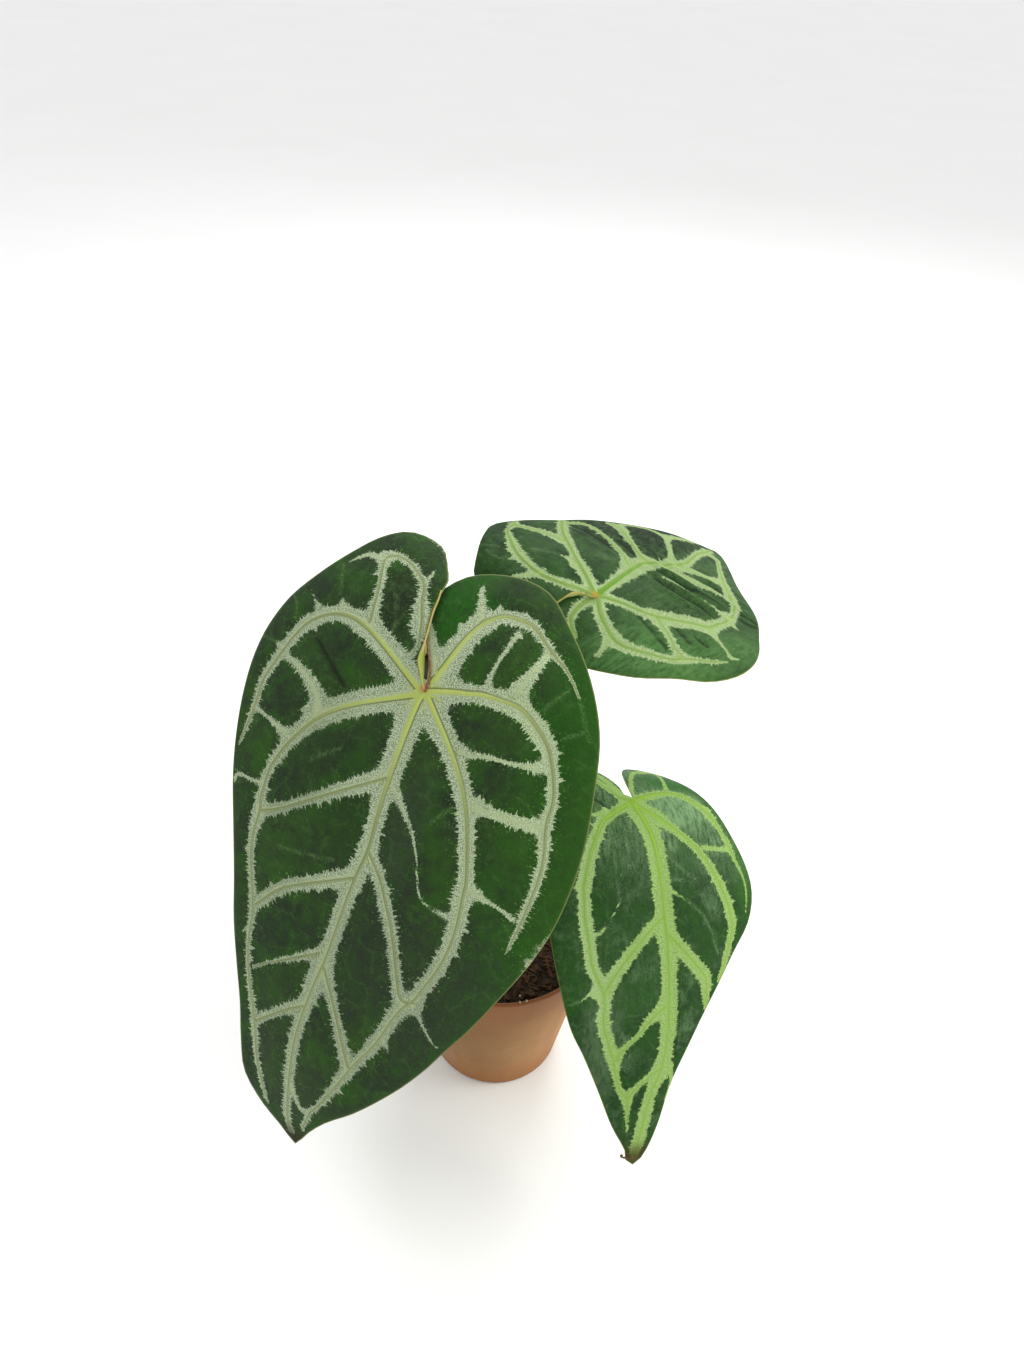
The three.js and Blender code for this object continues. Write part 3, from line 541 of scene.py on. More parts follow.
LOWER_VEINS = [
    (0, [(0, 1, 5.7), (6, 18, 5.4), (8, 26, 5.2), (10, 61, 4.9), (12, 76, 5.1), (14, 96, 4.2),
         (16, 124, 5), (16, 136, 3.8), (14, 152, 5.1), (9, 163, 3.1), (8, 172, 3.8), (5, 192, 3.6),
         (3, 201, 2.5)]),
    (1, [(0, 0, 2.4), (4, -1, 2), (14, -5, 2.9), (26, -8, 2.4), (36, -6, 2.8), (45, 2, 3), (47, 4, 3.8),
         (54, 18, 1.3), (57, 25, 2.4), (58, 31, 1.4), (65, 46, 0.6), (66, 55, 0.6), (65, 67, 0.4)]),
    (1, [(0, 1, 3.6), (7, 7, 4.5), (11, 9, 4.4), (23, 19, 2.4), (37, 31, 2.5), (50, 54, 3.1),
         (55, 71, 3.2), (55, 75, 2.3), (51, 91, 2.2), (47, 103, 1.1)]),
    (1, [(-1, 1, 2.4), (-19, 11, 3.1), (-22, 15, 3.2), (-30, 30, 3.3), (-33, 41, 4.1), (-35, 48, 3.7),
         (-35, 52, 3), (-35, 66, 3.6), (-33, 74, 3.2), (-31, 89, 3.5), (-29, 93, 2.8), (-23, 105, 3.8),
         (-22, 113, 2.8), (-23, 119, 3.8), (-20, 129, 2.9), (-15, 141, 3.8), (-12, 153, 1.5),
         (-9, 161, 1.9), (-4, 166, 2.7), (-4, 170, 1.6), (-2, 187, 0.3)]),
    (2, [(10, 65, 3.4), (1, 72, 3), (-9, 83, 3.2), (-19, 96, 3.8), (-23, 104, 4.1)]),
    (2, [(12, 114, 4.2), (2, 122, 2.2), (-2, 129, 1.4), (-10, 136, 1.6), (-13, 142, 2.5)]),
    (2, [(12, 150, 2.7), (4, 155, 1.3), (-3, 162, 2.2), (-4, 165, 2.8)]),
    (2, [(11, 73, 3.4), (36, 98, 3.8), (38, 102, 3.9), (39, 118, 1)]),
    (3, [(57, 28, 1.9), (50, 29, 1.1), (39, 28, 1.5)]),
    (3, [(-32, 74, 1), (-30, 74, 0.8), (-24, 71, 0.7), (-16, 57, 0.3)]),
    (3, [(-16, 47, 0.2), (-12, 39, 0.3), (-4, 35, 0.2)]),
    (3, [(11, 50, 2.2), (16, 52, 0.6), (24, 57, 0.3)]),
    (3, [(1, -2, 1.4), (8, -23, 1.1), (13, -30, 1.6), (18, -31, 2.4), (26, -36, 3.8), (29, -33, 2.1),
         (29, -26, 0.8), (26, -11, 1.3)]),
    (2, [(0, -1, 1.6), (-5, -2, 2.1), (-12, -12, 2), (-15, -18, 2.2)]),
    (3, [(-1, -2, 1.6), (-5, -7, 1.7), (-12, -26, 1.8)]),
    (3, [(-17, 7, 2.5), (-20, 8, 0.9), (-26, 8, 0.6)]),
    (3, [(-30, 104, 2.7), (-31, 104, 0.8), (-36, 108, 0.3)]),
    (3, [(-35, 48, 2.1), (-41, 48, 0.2)]),
    (3, [(19, 149, 2.3), (21, 154, 1.2), (22, 158, 1), (19, 169, 0.4)]),
]
LOWER_GHOSTS = [
    [(-36, 108), (-41, 110)],
    [(-16, 57), (-16, 47)],
    [(-4, 35), (-3, 34)],
    [(24, 57), (36, 66), (45, 87)],
    [(14, 32), (25, 43), (32, 46)],
    [(16, 46), (22, 46)],
]
LOWER_CREASES = [
    [(-21, -2), (-14, 5)],
]
UPPER_VEINS = [
    (0, [(-1, 0, 2.2), (6, 47, 5.2), (6, 53, 5.3), (3, 62, 3), (0, 69, 3.6), (-2, 83, 3.2),
         (-2, 90, 2.6), (3, 110, 2.5), (4, 119, 3), (5, 138, 1.4)]),
    (1, [(-1, 0, 3.1), (20, -13, 2.9), (29, -15, 2.3), (41, -14, 3.8), (50, -10, 3.6), (63, 2, 1.3),
         (65, 6, 1.4), (67, 13, 2.1), (71, 20, 1.3)]),
    (1, [(0, 0, 3.5), (13, 7, 4.2), (26, 13, 3), (34, 19, 2.7), (44, 26, 3.1), (52, 35, 3.2),
         (55, 40, 2.4)]),
    (1, [(-1, 0, 2.8), (-8, 8, 3.7), (-19, 15, 3.1), (-25, 19, 4.2), (-35, 32, 5.5), (-39, 38, 5),
         (-44, 43, 6), (-46, 46, 5.1), (-46, 52, 3.9), (-47, 64, 3.2), (-44, 80, 2.2), (-41, 85, 2.9),
         (-28, 99, 3.6), (-21, 106, 2.9), (-7, 125, 1.6), (-3, 131, 2.6), (2, 128, 3.5),
         (4, 128, 4.5)]),
    (1, [(-3, -1, 2.4), (-9, -6, 3.7), (-16, -10, 3.7), (-27, -14, 4.5), (-36, -11, 3.7), (-52, 3, 2.6),
         (-53, 7, 3.3), (-57, 14, 2.1), (-63, 20, 1.7), (-68, 29, 0.6)]),
    (1, [(-1, -2, 2.9), (-1, -12, 2.6), (-4, -23, 2.2), (-14, -27, 1)]),
    (2, [(41, 20, 5.3), (46, 19, 3.1), (57, 15, 2.4), (61, 14, 2), (65, 13, 2.8), (67, 14, 2.6)]),
    (3, [(21, 7, 3.2), (26, 8, 1.4), (30, 6, 0.5)]),
    (2, [(8, 39, 5.3), (15, 43, 1.8), (33, 49, 1.7), (48, 50, 2), (53, 39, 1.2)]),
    (2, [(8, 56, 4.4), (12, 56, 2.2), (17, 58, 1.5), (31, 66, 2.8), (35, 70, 4.1), (38, 70, 4.2),
         (42, 70, 2.9), (43, 67, 1.7)]),
    (3, [(39, 76, 1.9), (38, 82, 1.4), (32, 92, 1.5), (26, 97, 2), (21, 98, 3.9)]),
    (3, [(21, 98, 2.1), (3, 78, 1.8), (1, 75, 3.3)]),
    (3, [(21, 101, 2.5), (15, 131, 1.8), (14, 134, 1)]),
    (3, [(-2, 76, 5.2), (-4, 78, 3.4), (-6, 83, 2.6), (-17, 93, 2.6), (-21, 104, 3)]),
    (3, [(-2, 67, 3.9), (-6, 69, 2), (-36, 90, 3.6)]),
    (3, [(-7, 52, 0.5), (-26, 64, 1.6), (-37, 67, 2.3), (-44, 69, 4.6)]),
    (2, [(-26, 21, 4.4), (-40, 15, 2.3), (-47, 11, 2.5), (-53, 10, 3.6)]),
    (3, [(-47, 44, 3.6), (-53, 40, 1.3), (-65, 35, 0.6), (-67, 33, 1.7), (-70, 36, 0.7)]),
    (3, [(-23, -12, 2.4), (-29, -26, 1.1), (-28, -27, 0.9)]),
    (3, [(26, -14, 2.7), (32, -27, 1.3)]),
    (3, [(-50, 66, 1.3), (-55, 63, 0.4)]),
    (3, [(42, -17, 1.4), (43, -20, 0.5)]),
    (3, [(-44, 69, 0.9), (-44, 71, 0.9)]),
]
UPPER_GHOSTS = [
    [(30, 6), (42, -4)],
    [(56, -24), (50, -25), (46, -24), (45, -19)],
    [(61, -22), (54, -17)],
]
UPPER_CREASES = [
    [(40, 66), (19, 55), (12, 55)],
    [(49, 41), (22, 42)],
    [(25, 53), (12, 52)],
    [(-6, 72), (-14, 77), (-29, 91)],
    [(0, 57), (-17, 63), (-23, 69), (-39, 76), (-41, 79)],
    [(-5, 48), (-21, 52), (-33, 59), (-40, 58)],
    [(-22, 11), (-45, 7)],
    [(-37, 25), (-49, 22)],
    [(-48, 29), (-55, 29)],
    [(-43, 84), (-56, 87)],
    [(-45, 79), (-54, 78), (-57, 83)],
]

LARGE_LEAF = {
    "base": (-40.4, -45, 330.6), "heading": -24, "pitch": -46, "roll": 0,
    "length": 229, "lobe_length": 60,
    "tip_bend": 22, "tip_reach": 1000, "lobe_bend": 25, "lobe_reach": 1000,
    "left_droop": 0.0014, "right_droop": 0.0009, "wave_height": 1, "wave_count": 7, "wave_phase": 0.4,
    "lap": {
        "way": -1, "from": -9, "until": -66, "shift": 5.6, "lift": 2.6, "reach": 11,
        "seam": [(-9, -75), (-9, -60), (-12, -52), (-14.6, -42), (-12.6, -27), (-7.4, -16), (-2, -4)],
    },
    "veins": LARGE_VEINS, "line_share": 1.0, "side_gleam": 1.0,
    "ghosts": LARGE_GHOSTS,
    "creases": LARGE_CREASES,
    "pleats": None,
}
LOWER_LEAF = {
    "base": (68.6, 5, 217.2), "heading": 13.9, "pitch": -5.5, "roll": -10,
    "length": 202.4, "lobe_length": 50,
    "tip_bend": 60, "tip_reach": 60, "lobe_bend": 40, "lobe_reach": 45,
    "left_droop": 0.0012, "right_droop": 0.0022, "wave_height": 1.2, "wave_count": 8, "wave_phase": 1.1,
    "lap": None,
    "veins": LOWER_VEINS, "line_share": 0.8, "side_gleam": 0.9,
    "ghosts": LOWER_GHOSTS,
    "creases": LOWER_CREASES,
    "pleats": None,
}
UPPER_LEAF = {
    "base": (38.2, 30, 336.5), "heading": 138.6, "pitch": -5.2, "roll": 19.3,
    "length": 152, "lobe_length": 50,
    "tip_bend": 22.5, "tip_reach": 400, "lobe_bend": 30, "lobe_reach": 60,
    "left_droop": -0.001, "right_droop": 0.0032, "wave_height": 0.8, "wave_count": 8, "wave_phase": 2.2,
    "lap": {
        "way": 1, "from": -4, "until": -48, "shift": 4.4, "lift": 2, "reach": 9,
        "seam": [(6, -60), (8, -41), (10.4, -32), (10, -22), (7.8, -12), (3, -4)],
    },
    "veins": UPPER_VEINS, "line_share": 0.9, "side_gleam": 0.45,
    "ghosts": UPPER_GHOSTS,
    "creases": UPPER_CREASES,
    "pleats": {"centre": (-20, 66), "slope": -0.36, "spacing": 11, "height": 1.2, "wide": 26, "tall": 24},
}

BLADE_HALF_THICKNESS = 0.4
BLADE_CUTS = 7
BLADE_SMOOTHING = 70
MARGIN_THINNING = 0.45
MARGIN_REACH = 1.5
JOINT_FLAT = 6
JOINT_FADE = 12

# These four go by the vein's rank.
RIB_DEPTHS = (1.5, 0.9, 0.5, 0.25)
RIDGE_HEIGHTS = (0.5, 0.4, 0.25, 0.1)
QUILT_SHARES = (1.0, 1.0, 0.45, 0.15)
LINE_HALF_WIDTHS = (1.4, 1.2, 0.35, 0.0)

RIB_WIDTH = 1.5
RIDGE_WIDTH = 0.9
FULL_RELIEF_BAND = 3
QUILT_HEIGHT = 1.2
QUILT_WIDTH = 8
QUILT_FADE = 12
PLEAT_FADE = 6
LINE_FADE_LENGTH = 75.0
LINK_FADE = 0.3
THINNEST_LINE = 0.35
NEXT_VEIN_START = 37.0
WEBBING = 0.34
FORK_REACH = 0.3
GHOST_WIDTH = 0.7
CREASE_WIDTH = 1.0
CREASE_FOLD_WIDTH = 2.5
CREASE_DEPTH = 0.9
NEVER_ZERO = 1e-9

# Fields that a blade keeps for its finishes.
VEIN_FIELDS = ("band", "side", "along", "width", "line", "gleam", "fork", "ghost", "crease_shade")


def pleat_height(leaf, u, v):
    """Folds that run across a half-grown blade from the midrib."""
    pleats = leaf["pleats"]
    if not pleats:
        return 0 * u
    x = u - pleats["centre"][0]
    y = v - pleats["centre"][1] - pleats["slope"] * x
    window = np.exp(-((x / pleats["wide"]) ** 4) - (y / pleats["tall"]) ** 2)
    return pleats["height"] * window * np.sin(y * 2 * math.pi / pleats["spacing"])


def hump(gap, width):
    """1 on a line, falling to 0 a little past the width."""
    return np.exp(-((gap / width) ** 2))


def strength_near(u, v, lines, width):
    """A hump on the nearest of the lines."""
    best = np.full(len(u), np.inf)
    for line in lines:
        flat_line = [(x, y, 1.0) for x, y in line]
        best = np.minimum(best, measure_from_line(u, v, smooth_line(flat_line))[0])
    return hump(best, width)


def blade_fields(leaf, u, v):
    """What the veins do at each place on the pattern.

    band is 0 on a vein and 1 where its pale band ends, and bands that meet are webbed together.
    side and along are distances from the nearest vein and along it. line is half the width of its
    bright line, gleam that line's strength, and fork is 1 where two veins are as near as each other.
    """
    near = np.full(len(u), np.inf)
    second = np.full(len(u), np.inf)
    side, along, line, gleam = np.zeros((4, len(u)))
    weights, widths_sum = np.zeros((2, len(u)))
    ridge, rib = np.zeros((2, len(u)))
    quilt = np.ones(len(u))
    for number, (rank, path) in enumerate(leaf["veins"]):
        gap, passed, half, way = measure_from_line(u, v, smooth_line(path))
        value = gap / half
        weight = np.exp(-value / WEBBING)
        weights += weight
        widths_sum += weight * half
        closer = value < near
        second = np.where(closer, near, np.minimum(second, value))
        near = np.where(closer, value, near)
        side = np.where(closer, gap * way, side)
        along = np.where(closer, passed + number * NEXT_VEIN_START, along)
        fade = np.exp(-passed / LINE_FADE_LENGTH) if rank < 2 else LINK_FADE + 0 * passed
        widest = LINE_HALF_WIDTHS[rank] * leaf["line_share"]
        line = np.where(closer, np.maximum(widest * fade, min(THINNEST_LINE, widest)), line)
        gleam = np.where(closer, fade * (1 if rank == 0 else leaf["side_gleam"]), gleam)
        relief = np.minimum(1, half / FULL_RELIEF_BAND) * (0.4 + 0.6 * fade)
        ridge = np.maximum(ridge, RIDGE_HEIGHTS[rank] * relief * hump(gap, RIDGE_WIDTH))
        rib = np.maximum(rib, RIB_DEPTHS[rank] * relief * hump(gap, RIB_WIDTH))
        quilt = quilt * (1 - QUILT_SHARES[rank] * hump(gap, QUILT_WIDTH))
    folds = strength_near(u, v, leaf["creases"], CREASE_FOLD_WIDTH)
    return {
        "band": np.maximum(0, -WEBBING * np.log(weights + NEVER_ZERO)),
        "side": side,
        "along": along,
        "width": widths_sum / (weights + NEVER_ZERO),
        "line": line,
        "gleam": gleam,
        "fork": np.exp(-(second - near) / FORK_REACH),
        "ghost": strength_near(u, v, leaf["ghosts"], GHOST_WIDTH),
        "crease_shade": strength_near(u, v, leaf["creases"], CREASE_WIDTH),
        "ridge": ridge,
        "rib": rib,
        "quilt": quilt * QUILT_HEIGHT - CREASE_DEPTH * folds,
    }


def margin_line(mesh, pattern, upper):
    """The blade's margin on the pattern, as pairs of places along its upper edge."""
    pairs = []
    faces_of_edge = {}
    for face in mesh.polygons:
        for key in face.edge_keys:
            faces_of_edge.setdefault(key, []).append(face)
    for (a, b), faces in faces_of_edge.items():
        if not (upper[a] and upper[b]) or len(faces) != 2:
            continue
        rim = sum(1 for face in faces if not all(upper[i] for i in face.vertices))
        if rim == 1:
            pairs.append((pattern[a], pattern[b]))
    return pairs


def distance_to_pairs(u, v, pairs):
    best = np.full(len(u), np.inf)
    for (ax, ay), (bx, by) in pairs:
        dx, dy = bx - ax, by - ay
        share = np.clip(((u - ax) * dx + (v - ay) * dy) / max(dx * dx + dy * dy, NEVER_ZERO), 0, 1)
        best = np.minimum(best, np.hypot(ax + dx * share - u, ay + dy * share - v))
    return best


def cut_finely(blade, pattern, upper):
    """Cuts the faces of a blade small, and returns u, v and level of each place.

    The level is 1 on the blade's top and -1 beneath.
    """
    mesh = blade.data
    layer = mesh.attributes.new("pattern", "FLOAT_VECTOR", "POINT")
    stored = np.concatenate([pattern, np.where(upper, 1.0, -1.0)[:, None]], axis=1)
    layer.data.foreach_set("vector", stored.astype(np.float32).ravel())
    make_active(blade)
    for edge in mesh.edges:
        edge.select = bool(upper[edge.vertices[0]] == upper[edge.vertices[1]])
    bpy.context.tool_settings.mesh_select_mode = (False, True, False)
    bpy.ops.object.mode_set(mode="EDIT")
    bpy.ops.mesh.subdivide(number_cuts=BLADE_CUTS)
    bpy.ops.object.mode_set(mode="OBJECT")
    mesh = blade.data
    stored = np.empty(len(mesh.vertices) * 3, dtype=np.float32)
    mesh.attributes["pattern"].data.foreach_get("vector", stored)
    mesh.attributes.remove(mesh.attributes["pattern"])
    return stored.reshape(-1, 3).astype(float).T


def build_blade(node, leaf, top_finish, under_finish, edge_finish):
    """A blade cut finely, with raised veins above, ribs beneath and quilted cells between them."""
    surface = LeafSurface(leaf)
    blade = merged_copy(node, node + "_blade")
    pattern = surface.flatten(places(blade))
    outward = surface.normal(pattern[:, 0], pattern[:, 1])
    upper = (normals(blade) * outward).sum(1) > 0
    pairs = margin_line(blade.data, pattern, upper)
    u, v, level = cut_finely(blade, pattern, upper)
    fields = blade_fields(leaf, u, v)
    margin = distance_to_pairs(u, v, pairs)
    quilt = fields["quilt"] * np.minimum(1, margin / QUILT_FADE)
    quilt += pleat_height(leaf, u, v) * np.minimum(1, margin / PLEAT_FADE)
    half = BLADE_HALF_THICKNESS * (1 - MARGIN_THINNING * np.exp(-margin / MARGIN_REACH))
    fade_at_joint = np.clip((np.hypot(u, v) - JOINT_FLAT) / JOINT_FADE, 0, 1)
    above = half + fields["ridge"]
    below = -half - fields["rib"] * fade_at_joint
    offset = np.where(level > 0, level * above, -level * below)
    points = surface.point(u, v, quilt) + surface.normal(u, v) * offset[:, None]
    set_places(blade, points)
    for name in VEIN_FIELDS:
        set_attribute(blade, "vein_" + name, fields[name])
    set_attribute(blade, "margin_gap", margin)
    set_attribute(blade, "across", u)
    set_attribute(blade, "down", v)
    mesh = blade.data
    for material in (top_finish, under_finish, edge_finish):
        mesh.materials.append(material)
    corners = np.empty(len(mesh.polygons) * 3, dtype=np.int32)
    mesh.polygons.foreach_get("vertices", corners)
    levels = level[corners.reshape(-1, 3)]
    index = np.where(levels.min(1) > 0.99, 0, np.where(levels.max(1) < -0.99, 1, 2))
    mesh.polygons.foreach_set("material_index", index.astype(np.int32))
    smooth(blade, BLADE_SMOOTHING)
    return finish_piece(blade, node, top_finish)


# A strip lies on a blade's pattern between its left and right edges. Its lift is its height above the
# blade's middle layer, to which the arch adds in the strip's middle.

ROLLED_EDGE = {
    "left": [(-11.2, -45), (-10.2, -40), (-10.1, -35), (-9, -30), (-8.2, -25), (-7.4, -20), (-7.5, -15.3),
             (-7.3, -11.5), (-6.8, -9.8), (-4.5, -6.7), (-1.8, -2.8), (0.8, 0.6)],
    "right": [(-10.3, -45.6), (-9.3, -40.4), (-9, -35.2), (-8.2, -30.2), (-7.2, -25.4), (-6.5, -20.6),
              (-5.6, -16), (-4.1, -13.4), (-3.2, -11), (-1.8, -7.5), (-0.4, -3.2), (1.8, 0.3)],
    "lift": 2.6, "arch": 0.8, "thickness": 0.5,
}
SINUS_RIM = {
    "left": [(-7.7, -22), (-5.1, -16.6), (-2.3, -12.6), (-0.5, -9.3), (0.8, -5.4), (0.9, -1.2), (0.8, 1.7)],
    "right": [(-6.7, -22.1), (-4.2, -16.9), (-1.4, -12.8), (0.4, -9.6), (1.7, -5.7), (2.1, -1.5),
              (1.9, 1.4)],
    "lift": 1.2, "arch": 0.4, "thickness": 0.5,
}
SINUS_FLOOR_SHADOW = {
    "left": [(-9.2, -21.5), (-8.5, -16.5), (-7.1, -12), (-5.3, -7.5), (-3.5, -3.2), (-0.9, 1.3)],
    "right": [(-7.8, -22), (-5.3, -17.6), (-2.5, -13.4), (-0.2, -9.2), (1.1, -4.7), (0.9, 0.7)],
    "lift": -1.5, "arch": -0.3, "thickness": 0.4,
}
UPPER_ROLLED_EDGE = {
    "left": [(-2.4, -1.5), (-0.1, -5.2), (2.9, -6.6), (5.2, -8.6), (6.8, -10.5), (6.6, -15), (6.3, -20),
             (6.4, -25)],
    "right": [(-3.4, -2.4), (-1.1, -6.2), (1.7, -7.8), (3.2, -10), (4, -13), (5.4, -16), (5.3, -20.7),
              (5.2, -25.7)],
    "lift": 1.9, "arch": 0.6, "thickness": 0.4,
}
UPPER_SINUS_FLOOR_SHADOW = {
    "left": [(1.1, 2.5), (5.1, -0.5), (8, -4.6)],
    "right": [(-2.4, -1.4), (0.4, -5.6), (2.8, -10)],
    "lift": -1.5, "arch": -0.3, "thickness": 0.4,
}
STRIP_LONG_CUTS = 96
STRIP_CROSS_CUTS = 10


def along_edge(edge, share):
    """Places at even shares of an edge's length."""
    line = smooth_line(edge)
    lengths = np.concatenate([[0], np.cumsum(np.linalg.norm(np.diff(line, axis=0), axis=1))])
    return [np.interp(share * lengths[-1], lengths, line[:, axis]) for axis in (0, 1)]


def build_strip(name, leaf, strip, material):
    """A curled edge of a blade, or a tucked fold that carries painted shadow, from a grid laid on the
    blade's surface.
    """
    surface = LeafSurface(dict(leaf, lap=None))
    deselect_all()
    bpy.ops.mesh.primitive_grid_add(x_subdivisions=STRIP_CROSS_CUTS, y_subdivisions=STRIP_LONG_CUTS, size=1)
    piece = bpy.context.object
    piece.name = name
    bpy.ops.object.mode_set(mode="EDIT")
    bpy.ops.mesh.quads_convert_to_tris()
    bpy.ops.object.mode_set(mode="OBJECT")
    grid = places(piece) * MM
    across = grid[:, 0] + 0.5
    share = grid[:, 1] + 0.5
    left_u, left_v = along_edge(strip["left"], share)
    right_u, right_v = along_edge(strip["right"], share)
    lift = strip["lift"] + strip["arch"] * np.sin(across * math.pi)
    u = left_u + (right_u - left_u) * across
    v = left_v + (right_v - left_v) * across
    set_places(piece, surface.point(u, v, lift))
    upward = surface.normal(u, v).mean(0)
    if normals(piece).mean(0) @ upward < 0:
        make_active(piece)
        bpy.ops.object.mode_set(mode="EDIT")
        bpy.ops.mesh.select_all(action="SELECT")
        bpy.ops.mesh.flip_normals()
        bpy.ops.object.mode_set(mode="OBJECT")
    set_attribute(piece, "strip_across", across)
    set_attribute(piece, "strip_share", share)
    make_active(piece)
    wall = piece.modifiers.new("wall", "SOLIDIFY")
    wall.thickness = strip["thickness"] * MM
    bpy.ops.object.modifier_apply(modifier="wall")
    smooth(piece, degrees=60)
    return finish_piece(piece, None, material)


def rolled_edge_finish(name, facet_from, tan, facet):
    """A curled leaf edge: tan along its back, with a yellow-green facet of underside near the stalk."""
    finish = Finish(name, Specular_IOR_Level=0.3, Roughness=0.5)
    across = finish.attribute("strip_across")
    share = finish.attribute("strip_share")
    streak = finish.noise(finish.vector(across * 2.0, share * 26.0), 1.0, detail=3.0)
    tone = finish.mix(streak * 0.6, tan, facet)
    green = finish.mix(across.between(0.35, 0.9), facet, colour(120, 134, 52))
    tone = finish.mix((share + streak * 0.06).between(facet_from, facet_from + 0.08), tone, green)
    # The near edge is red-brown: the margin's own colour, darkened further by painted shade along the curl.
    edge = (0.14 - across).between(-0.1, 0.1)
    far_edge = across.between(0.8, 1.0)
    tone = finish.mix(edge * 0.85, tone, colour(106, 62, 30))
    tone = finish.mix(far_edge * 0.6, tone, colour(84, 70, 30))
    tone = finish.mix(share.between(0.93, 1.0) * 0.7, tone, colour(168, 96, 60))
    finish.wire("Base Color", tone)
    finish.wire("Normal", finish.bump(streak, 0.0002, 0.4))
    return finish.material


def rim_finish():
    finish = Finish("red_brown_rim", Specular_IOR_Level=0.3, Roughness=0.5)
    share = finish.attribute("strip_share")
    streak = finish.noise(finish.vector(share * 30.0, share), 1.0, detail=2.0)
    finish.wire("Base Color", finish.mix(streak.between(0.3, 0.7), colour(96, 58, 30), colour(140, 92, 52)))
    finish.wire("Normal", finish.bump(streak, 0.0002, 0.4))
    return finish.material


def tucked_shadow_finish(name, dark, light):
    """The leaf skin down between the two back lobes, with painted shadow darkest at both ends of the gap.
    """
    finish = Finish(name, Specular_IOR_Level=0.1, Roughness=0.7)
    share = finish.attribute("strip_share")
    across = finish.attribute("strip_across")
    cloudy = finish.noise(finish.vector(across * 3.0, share * 14.0), 1.0, detail=3.0)
    middle = share.between(0.3, 0.45) * (1 - share.between(0.7, 0.82))
    finish.wire("Base Color", finish.mix(middle * (0.5 + cloudy * 0.5), dark, light))
    finish.wire("Normal", finish.bump(cloudy, 0.0004, 0.5))
    return finish.material


# Places on the lower blade's pattern, and the hook's radius there.
HOOK_PATH = [
    (3, 200.9, 1.6), (0.3, 200.7, 1.1), (-1.4, 201, 0.55), (-2.8, 200.7, 0.5), (-3.6, 200, 0.8),
    (-3.4, 199.2, 0.7),
]


def build_dried_tip(material):
    """The little brown hook on which the lower blade ends."""
    surface = LeafSurface(LOWER_LEAF)
    data = bpy.data.curves.new("dried_tip", "CURVE")
    data.dimensions = "3D"
    data.bevel_depth = MM
    data.bevel_resolution = 4
    data.resolution_u = 6
    data.use_fill_caps = True
    spline = data.splines.new("BEZIER")
    spline.bezier_points.add(len(HOOK_PATH) - 1)
    for knot, (u, v, radius) in zip(spline.bezier_points, HOOK_PATH):
        knot.co = Vector(surface.point(np.array([u]), np.array([v]))[0]) * MM
        knot.handle_left_type = "AUTO"
        knot.handle_right_type = "AUTO"
        knot.radius = radius
    tip = bpy.data.objects.new("dried_tip", data)
    bpy.context.scene.collection.objects.link(tip)
    make_active(tip)
    bpy.ops.object.convert(target="MESH")
    tip = bpy.context.object
    smooth(tip, degrees=60)
    return finish_piece(tip, None, material)


def dried_finish():
    finish = Finish("dried_tip", Specular_IOR_Level=0.2, Roughness=0.7)
    place = finish.place()
    tone = finish.noise(place, 900.0, detail=3.0)
    finish.wire("Base Color", finish.mix(tone.between(0.3, 0.7), colour(62, 50, 30), colour(92, 80, 40)))
    finish.wire("Normal", finish.bump(tone, 0.0003, 0.6))
    return finish.material


# Leaf finishes. A tint is a place across and down the pattern, its reach each way, its share and its tone.

LARGE_LOOK = {
    "name": "large_leaf_top",
    "dark": colour(30, 44, 26), "mid": colour(38, 64, 22), "deep": colour(22, 32, 20),
    "rich": colour(36, 84, 8), "rich_side": 1.0, "rich_reach": (35, 90), "rich_share": 0.6,
    "net": colour(96, 132, 72), "painted_sheen_side": 1.0, "painted_sheen_reach": (0, 50), "painted_sheen_share": 0.0,
    "flecks": 0.8, "fleck": colour(92, 156, 52),
    "tints": [
        (-29, -36, 16, 20, 0.7, colour(22, 34, 14)), (2, -40, 18, 24, 0.9, colour(22, 78, 2)),
        (6, 110, 26, 50, 0.6, colour(36, 46, 32)), (48, 131, 34, 44, 0.7, colour(40, 50, 36)),
        (-27, 186, 16, 34, 0.4, colour(46, 56, 40)), (-4, 206, 22, 20, 0.5, colour(44, 54, 38)),
        (-16, 58, 16, 26, 0.6, colour(28, 56, 14)), (-42, 40, 12, 26, 0.4, colour(34, 54, 24)),
        (14, 62, 10, 36, 0.45, colour(50, 66, 44)), (68, -14, 16, 50, 0.6, colour(26, 74, 4)),
        (90, 60, 18, 56, 0.4, colour(36, 74, 16)),
    ],
    "band_tints": [
        (64, 20, 36, 80, 0.4, colour(182, 204, 150)), (-44, 70, 20, 70, 0.35, colour(92, 108, 78)),
        (20, 150, 60, 66, 0.3, colour(106, 118, 96)),
    ],
    "crease_shade": colour(18, 24, 12), "band_low": colour(94, 112, 78), "band_high": colour(188, 202, 170),
    "band_heart": colour(166, 180, 134), "line": colour(168, 182, 88), "line_shade": colour(88, 96, 38),
    "heart": colour(176, 112, 66), "rim": colour(140, 140, 84),
    "tip": colour(44, 40, 24), "tip_reach": (223, 232),
    "spike": 2.2, "spread": 1.04, "lobe_share": 0.0, "shine": 0.12, "sheen": 0.03, "rough": 0.6, "nap": 0.6,
}
